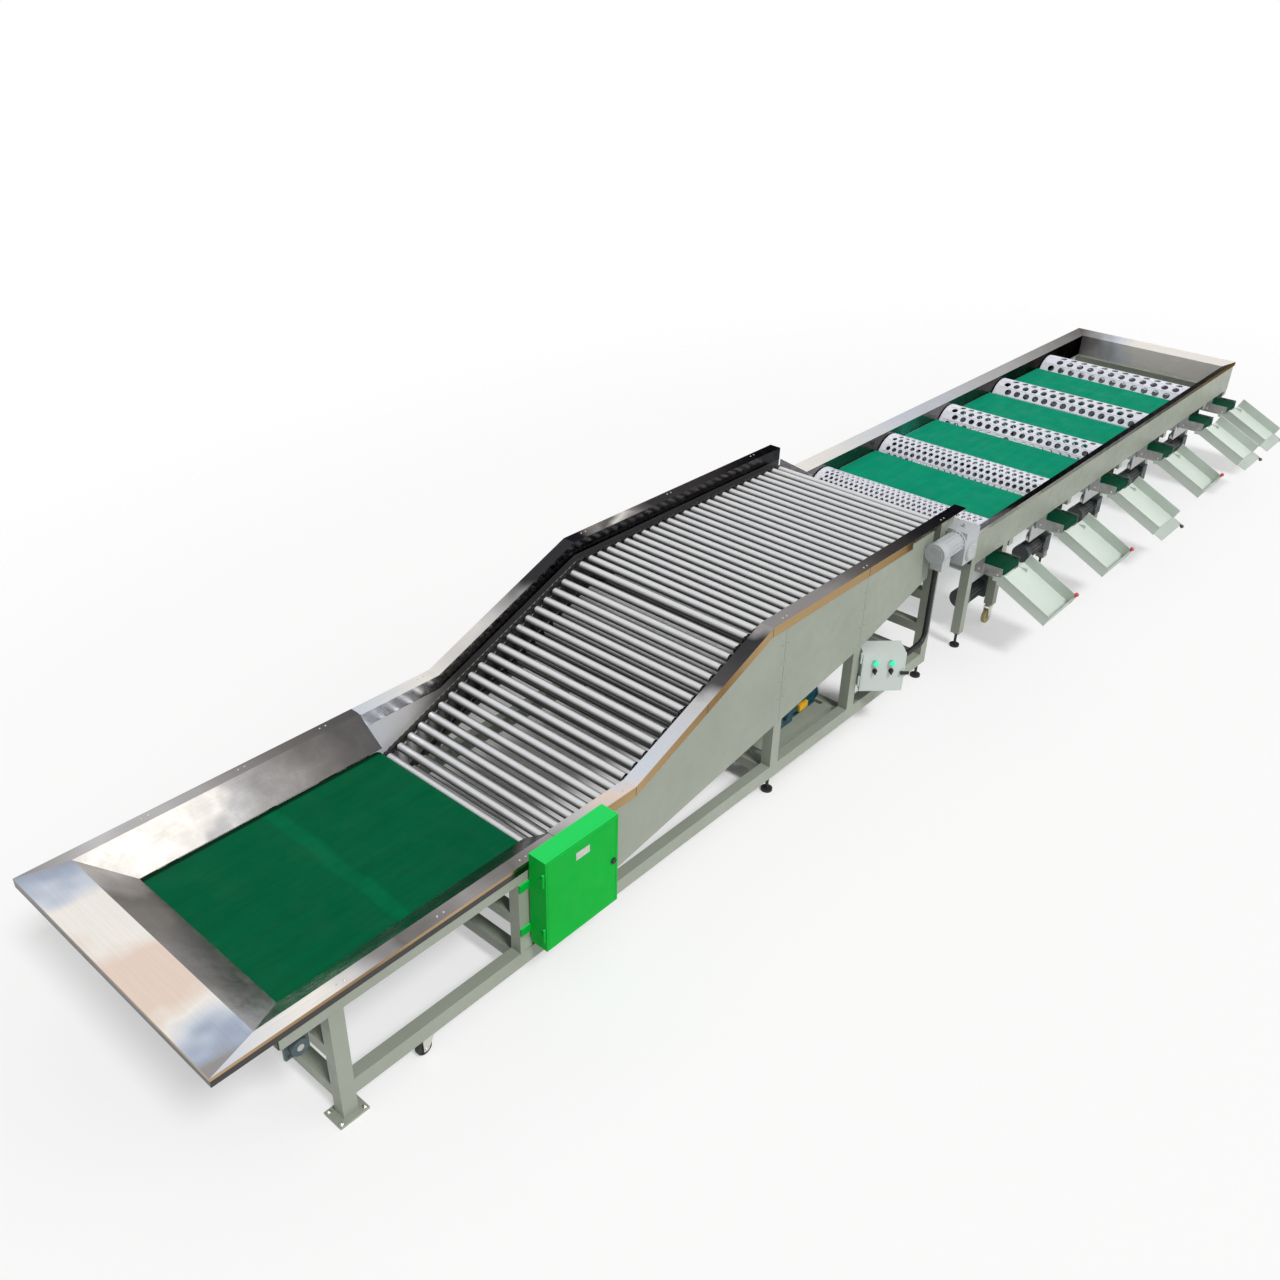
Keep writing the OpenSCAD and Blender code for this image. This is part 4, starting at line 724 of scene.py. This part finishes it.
def motor_details():
    """Fan grille, gearbox cover with bolts, lifting eye and lid screws of the elevator's gearmotor."""
    head_x, head_z, cover_y = 4645.0, 899.4, -862.0
    motor_y, motor_z, radius = -790.0, 974.4, 65.0
    grille_rings, half_rib, rib_top, rib_foot, rib_proud = (18.0, 32.0, 46.0), 3.0, 2.4, -0.3, 2.0
    b = Build()
    end = Vector((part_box("elevator_gearmotor")[0].x, at(0, motor_y, 0).y, motor_z * MM))
    for ring in grille_rings:
        inner = [(ring - half_rib, rib_foot), (ring - rib_top, rib_proud)]
        outer = [(ring + rib_top, rib_proud), (ring + half_rib, rib_foot)]
        b.turned(end, (-1, 0, 0), inner + outer, 32)
    cover = at(head_x, cover_y, head_z)
    b.turned(cover, TO_OPERATOR, [(52, SUNK), (52, 3), (48, 5), (30, 5.5), (24, 3), (10, 3)], 32)
    eye = [(9, -1), (9, 5), (6, 8), (6, 12), (10, 16), (10, 22), (6, 25)]
    b.turned(at(head_x, motor_y, motor_z + radius), UP, eye, 18)
    b.finish("head_motor_covers", MATERIALS["motor_light"], ROOT)
    s = Build()
    bolt_ring, bolts, bolt, seat = 44.0, 6, 5.0, -4.0
    for i in range(bolts):
        a = 2 * math.pi * (i + 0.5) / bolts
        spot = Vector((bolt_ring * math.cos(a), seat, bolt_ring * math.sin(a)))
        s.hex_bolt(cover + spot * MM, TO_OPERATOR, bolt)
    lid_x, lid_out, lid_down, lid_half, lid_screw = 4400.0, 38.0, 80.0, (38.0, 28.0), 4.0
    for i in SIDES:
        for j in SIDES:
            x, z = lid_x + i * lid_half[0], motor_z - lid_down + j * lid_half[1]
            s.pan_screw(at(x, motor_y - lid_out, z), TO_OPERATOR, lid_screw)
    s.finish("head_motor_bolts", MATERIALS["zinc"], ROOT)


def under_motor_details():
    """Yellow oil plug and yellow side cover of the low gearmotor."""
    low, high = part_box("under_motor")
    plug_in, plug_off, plug_down = 80.0 * MM, 12.0 * MM, 26.0 * MM
    collar = [(16, -2), (16, 6), (13, 9), (9, 10)]
    grip = [(9, 20), (12, 24), (12, 30), (7, 33)]
    cover_low, cover_high, bevel = at(3396.0, -560.0, 216.0), at(3478.0, -538.0, 262.0), 4.0
    b = Build()
    plug = Vector((low.x + plug_in, (low.y + high.y) / 2 + plug_off, high.z - plug_down))
    b.turned(plug, UP, collar + grip, 20)
    b.slab(cover_low, cover_high, bevel)
    b.finish("under_motor_plug", YELLOW, ROOT)


# The outlet trays slope down from their upper edge
TRAY_Y = -855.0
TRAY_Z = 495.0
TRAY_SLOPE = math.radians(26.0)


def on_tray(x, across, back, above):
    """A point of the tray at station x: across it, back up its slope and above its floor, in millimetres."""
    c, s = math.cos(TRAY_SLOPE), math.sin(TRAY_SLOPE)
    return at(x + across, TRAY_Y, TRAY_Z) + Vector((0, back * c - above * s, back * s + above * c)) * MM


def gate_knobs():
    """Ball knobs with a moulded collar on the gates."""
    opened = (0, 0, 1, 0, 1, 1)
    gate_out, barrel, reach, gate_half, knob_share = 393.0, 6.0, 94.0, 196.4, 0.86
    radius = 14.4
    turns = [math.radians(a) for a in range(28, 176, 8)]
    ball = [(radius * math.sin(a), -radius * math.cos(a)) for a in turns]
    collar = [(7.5, -22.0), (7.5, -15.5), (6.2, -13.4)]
    for k, x in enumerate(STATIONS):
        turn = TRAY_SLOPE + math.radians(90.0 * opened[k])
        up = Vector((0, -math.sin(turn), math.cos(turn)))
        centre = on_tray(x, knob_share * gate_half, -gate_out, barrel) + up * reach * MM
        b = Build()
        b.turned(centre, up, collar + ball, 28)
        b.finish(f"gate_{k + 1}_knob", KNOB_DARK if opened[k] else KNOB_RED, f"gate_{k + 1}")


def tray_hems():
    """Rolled hems on the tray walls, clear of the gates that swing between them."""
    b = Build()
    hem_out, wall, low_end, high_end, hem = 200.2, 75.0, -395.0, -1.0, 3.2
    for x in STATIONS:
        for side in SIDES:
            across = side * hem_out
            b.swept([on_tray(x, across, low_end, wall), on_tray(x, across, high_end, wall)], hem, 10)
    b.finish("tray_hems", MATERIALS["chute_paint"], ROOT)


def outlet_bolts():
    """Hexagon bolts of the outlet belt plates and hangers."""
    b = Build()
    plate_face, hanger, thread = 123.0, 6.0, 8.0
    hanger_y, hanger_z, tail_y, tail_z = -690.0, (515.0, 600.0), -818.0, 513.0
    for x in STATIONS:
        for side in SIDES:
            out = (side, 0, 0)
            for z in hanger_z:
                b.hex_bolt(at(x + side * (plate_face + hanger), hanger_y, z), out, thread)
            b.hex_bolt(at(x + side * plate_face, tail_y, tail_z), out, thread)
    b.finish("outlet_bolts", MATERIALS["zinc"], ROOT)


def welds():
    """Weld beads where legs meet the long tubes and the floor plates."""
    b = Build()
    bead, steps = 3.0, 9
    leg, tube_low, tube_high, tube_wave = 70.0, 185.0, 585.0, 0.6
    front_leg, cabinet_leg = 75.0, 1040.0
    plate_wave, plate_inset, plate_run, plate_top = 0.4, 4.0, 52.0, 12.5
    for side in SIDES:
        for x, z in ((front_leg, tube_high), (cabinet_leg, tube_high), (cabinet_leg, tube_low)):
            b.swept([at(x + leg * i / steps, side * FRAME_OUT, z + tube_wave * (2 * (i % 2) - 1))
                     for i in range(steps + 1)], bead)
        for x in (front_leg, front_leg + leg):
            b.swept([at(x, side * (FRAME_IN + plate_inset + plate_run * i / steps),
                        plate_top + plate_wave * (i % 2)) for i in range(steps + 1)], bead)
    b.finish("welds", MATERIALS["frame_paint"], ROOT)


def details():
    """All the small forms, each on the body that carries it."""
    floor_bolts()
    rim_screws()
    lip_joints()
    panel_rivets()
    tube_plugs()
    roller_caps()
    cabinet_details()
    control_details()
    motor_details()
    under_motor_details()
    gate_knobs()
    tray_hems()
    outlet_bolts()
    welds()


# Stage: the camera as solved from the photo, then backdrop, floor and lamps
FOCAL_PIXELS = 1193.57
PHOTO_PIXELS = 1280.0
SENSOR = 36.0
CAMERA_AT = (-1511.0, -3550.0, 4070.0)
CAMERA_TURN = (1.47, 59.08, -49.38)


def camera():
    """The photo's camera: its place in millimetres and its roll, tilt and heading in degrees."""
    data = bpy.data.cameras.new("camera")
    data.sensor_width = SENSOR
    data.sensor_fit = "HORIZONTAL"
    data.lens = FOCAL_PIXELS / PHOTO_PIXELS * SENSOR
    data.clip_end = 100.0
    obj = bpy.data.objects.new("camera", data)
    bpy.context.scene.collection.objects.link(obj)
    roll, tilt, heading = (math.radians(v) for v in CAMERA_TURN)
    turn = Matrix.Rotation(heading, 4, "Z") @ Matrix.Rotation(tilt, 4, "X") @ Matrix.Rotation(roll, 4, "Z")
    obj.matrix_world = Matrix.Translation(at(*CAMERA_AT)) @ turn
    bpy.context.scene.camera = obj


def joined(tree, operation, a, b):
    """Two sockets brought together by one sum, or the second alone."""
    if a is None:
        return b
    node = tree.nodes.new("ShaderNodeMath")
    node.operation = operation
    tree.links.new(a, node.inputs[0])
    tree.links.new(b, node.inputs[1])
    return node.outputs[0]


def seen(tree):
    """One where a ray comes from the camera, a mirror surface or glass, as a socket."""
    rays = tree.nodes.new("ShaderNodeLightPath")
    total = rays.outputs["Is Camera Ray"]
    for name in ("Is Glossy Ray", "Is Transmission Ray"):
        total = joined(tree, "MAXIMUM", total, rays.outputs[name])
    return total


SKY = (1.0, 0.995, 0.985, 1)
SKY_LIGHT = 0.42


def world():
    """A white backdrop to look at, and a dimmer, slightly warm sky to light by."""
    sky = bpy.data.worlds.new("studio")
    bpy.context.scene.world = sky
    sky.use_nodes = True
    tree = sky.node_tree
    shown = tree.nodes["Background"]
    shown.inputs["Color"].default_value = (1, 1, 1, 1)
    shown.inputs["Strength"].default_value = 1.0
    lit = tree.nodes.new("ShaderNodeBackground")
    lit.inputs["Color"].default_value = SKY
    lit.inputs["Strength"].default_value = SKY_LIGHT
    mix = tree.nodes.new("ShaderNodeMixShader")
    tree.links.new(seen(tree), mix.inputs["Fac"])
    tree.links.new(lit.outputs["Background"], mix.inputs[1])
    tree.links.new(shown.outputs["Background"], mix.inputs[2])
    tree.links.new(mix.outputs["Shader"], tree.nodes["World Output"].inputs["Surface"])


KEY_FROM = (-0.12, -0.6, 0.79)
FILL_FROM = (0.6, -0.6, 0.5)


def sun(name, source, strength, angle):
    """A soft distant lamp that shines from the direction of source."""
    data = bpy.data.lights.new(name, "SUN")
    data.energy = strength
    data.angle = math.radians(angle)
    obj = bpy.data.objects.new(name, data)
    bpy.context.scene.collection.objects.link(obj)
    obj.rotation_mode = "QUATERNION"
    obj.rotation_quaternion = Vector(source).to_track_quat("Z", "Y")


# Half sizes in metres, and where the fade starts, as a share of them
FLOOR_HALF = (11.0, 7.0)
FLOOR_CLEAR = 0.55
FLOOR_TONE = (0.92, 0.92, 0.92, 1)
FLOOR_ROUGH = 0.9
# Share of its own white, kept off the patches (x range, y range) in the machine's shade
FLOOR_WHITE = 0.45
SHADE_SOFT = 250.0
SHADES = (((1500.0, 4300.0), (200.0, 1250.0)), ((2950.0, 3900.0), (-560.0, 300.0)))


def in_shade(tree, place):
    """One where the machine keeps the light off the floor, with soft sides, as a socket."""
    split = tree.nodes.new("ShaderNodeSeparateXYZ")
    tree.links.new(place, split.inputs[0])
    total = None
    for (x0, x1), (y0, y1) in SHADES:
        low, high = at(x0, y0, 0), at(x1, y1, 0)
        patch = None
        for axis in (0, 1):
            for edge, inward in ((low[axis], 1), (high[axis], -1)):
                side = tree.nodes.new("ShaderNodeMapRange")
                side.interpolation_type = "SMOOTHSTEP"
                side.inputs["From Min"].default_value = edge - inward * SHADE_SOFT * MM
                side.inputs["From Max"].default_value = edge
                tree.links.new(split.outputs[axis], side.inputs["Value"])
                patch = joined(tree, "MULTIPLY", patch, side.outputs["Result"])
        total = joined(tree, "MAXIMUM", total, patch)
    return total


def floor():
    """A pale floor that carries the shadow and fades into the white backdrop all round."""
    x, y = FLOOR_HALF
    mesh = bpy.data.meshes.new("floor")
    mesh.from_pydata([(-x, -y, 0), (x, -y, 0), (x, y, 0), (-x, y, 0)], [], [(0, 1, 2, 3)])
    obj = bpy.data.objects.new("floor", mesh)
    bpy.context.scene.collection.objects.link(obj)
    mat = bpy.data.materials.new("floor")
    mat.use_nodes = True
    tree = mat.node_tree
    base = tree.nodes["Principled BSDF"]
    base.inputs["Base Color"].default_value = FLOOR_TONE
    base.inputs["Roughness"].default_value = FLOOR_ROUGH
    white = tree.nodes.new("ShaderNodeEmission")
    white.inputs["Strength"].default_value = 1.0
    coord = tree.nodes.new("ShaderNodeTexCoord")
    open_floor = tree.nodes.new("ShaderNodeMapRange")
    open_floor.inputs["To Min"].default_value = FLOOR_WHITE
    open_floor.inputs["To Max"].default_value = 0.0
    tree.links.new(in_shade(tree, coord.outputs["Object"]), open_floor.inputs["Value"])
    share = joined(tree, "MULTIPLY", seen(tree), open_floor.outputs["Result"])
    pale = tree.nodes.new("ShaderNodeMixShader")
    tree.links.new(share, pale.inputs["Fac"])
    tree.links.new(base.outputs["BSDF"], pale.inputs[1])
    tree.links.new(white.outputs["Emission"], pale.inputs[2])
    mapping = tree.nodes.new("ShaderNodeMapping")
    mapping.inputs["Scale"].default_value = (1 / x, 1 / y, 1)
    tree.links.new(coord.outputs["Object"], mapping.inputs["Vector"])
    radius = tree.nodes.new("ShaderNodeVectorMath")
    radius.operation = "LENGTH"
    tree.links.new(mapping.outputs["Vector"], radius.inputs[0])
    fade = tree.nodes.new("ShaderNodeMapRange")
    fade.interpolation_type = "SMOOTHSTEP"
    fade.inputs["From Min"].default_value = FLOOR_CLEAR
    tree.links.new(radius.outputs["Value"], fade.inputs["Value"])
    gone = tree.nodes.new("ShaderNodeBsdfTransparent")
    mix = tree.nodes.new("ShaderNodeMixShader")
    tree.links.new(fade.outputs["Result"], mix.inputs["Fac"])
    tree.links.new(pale.outputs["Shader"], mix.inputs[1])
    tree.links.new(gone.outputs["BSDF"], mix.inputs[2])
    tree.links.new(mix.outputs["Shader"], tree.nodes["Material Output"].inputs["Surface"])
    mesh.materials.append(mat)


dress_nodes()
details()
camera()
world()
floor()
sun("key", KEY_FROM, strength=2.1, angle=14.0)
sun("fill", FILL_FROM, strength=0.35, angle=40.0)
bpy.context.scene.view_settings.view_transform = "Standard"
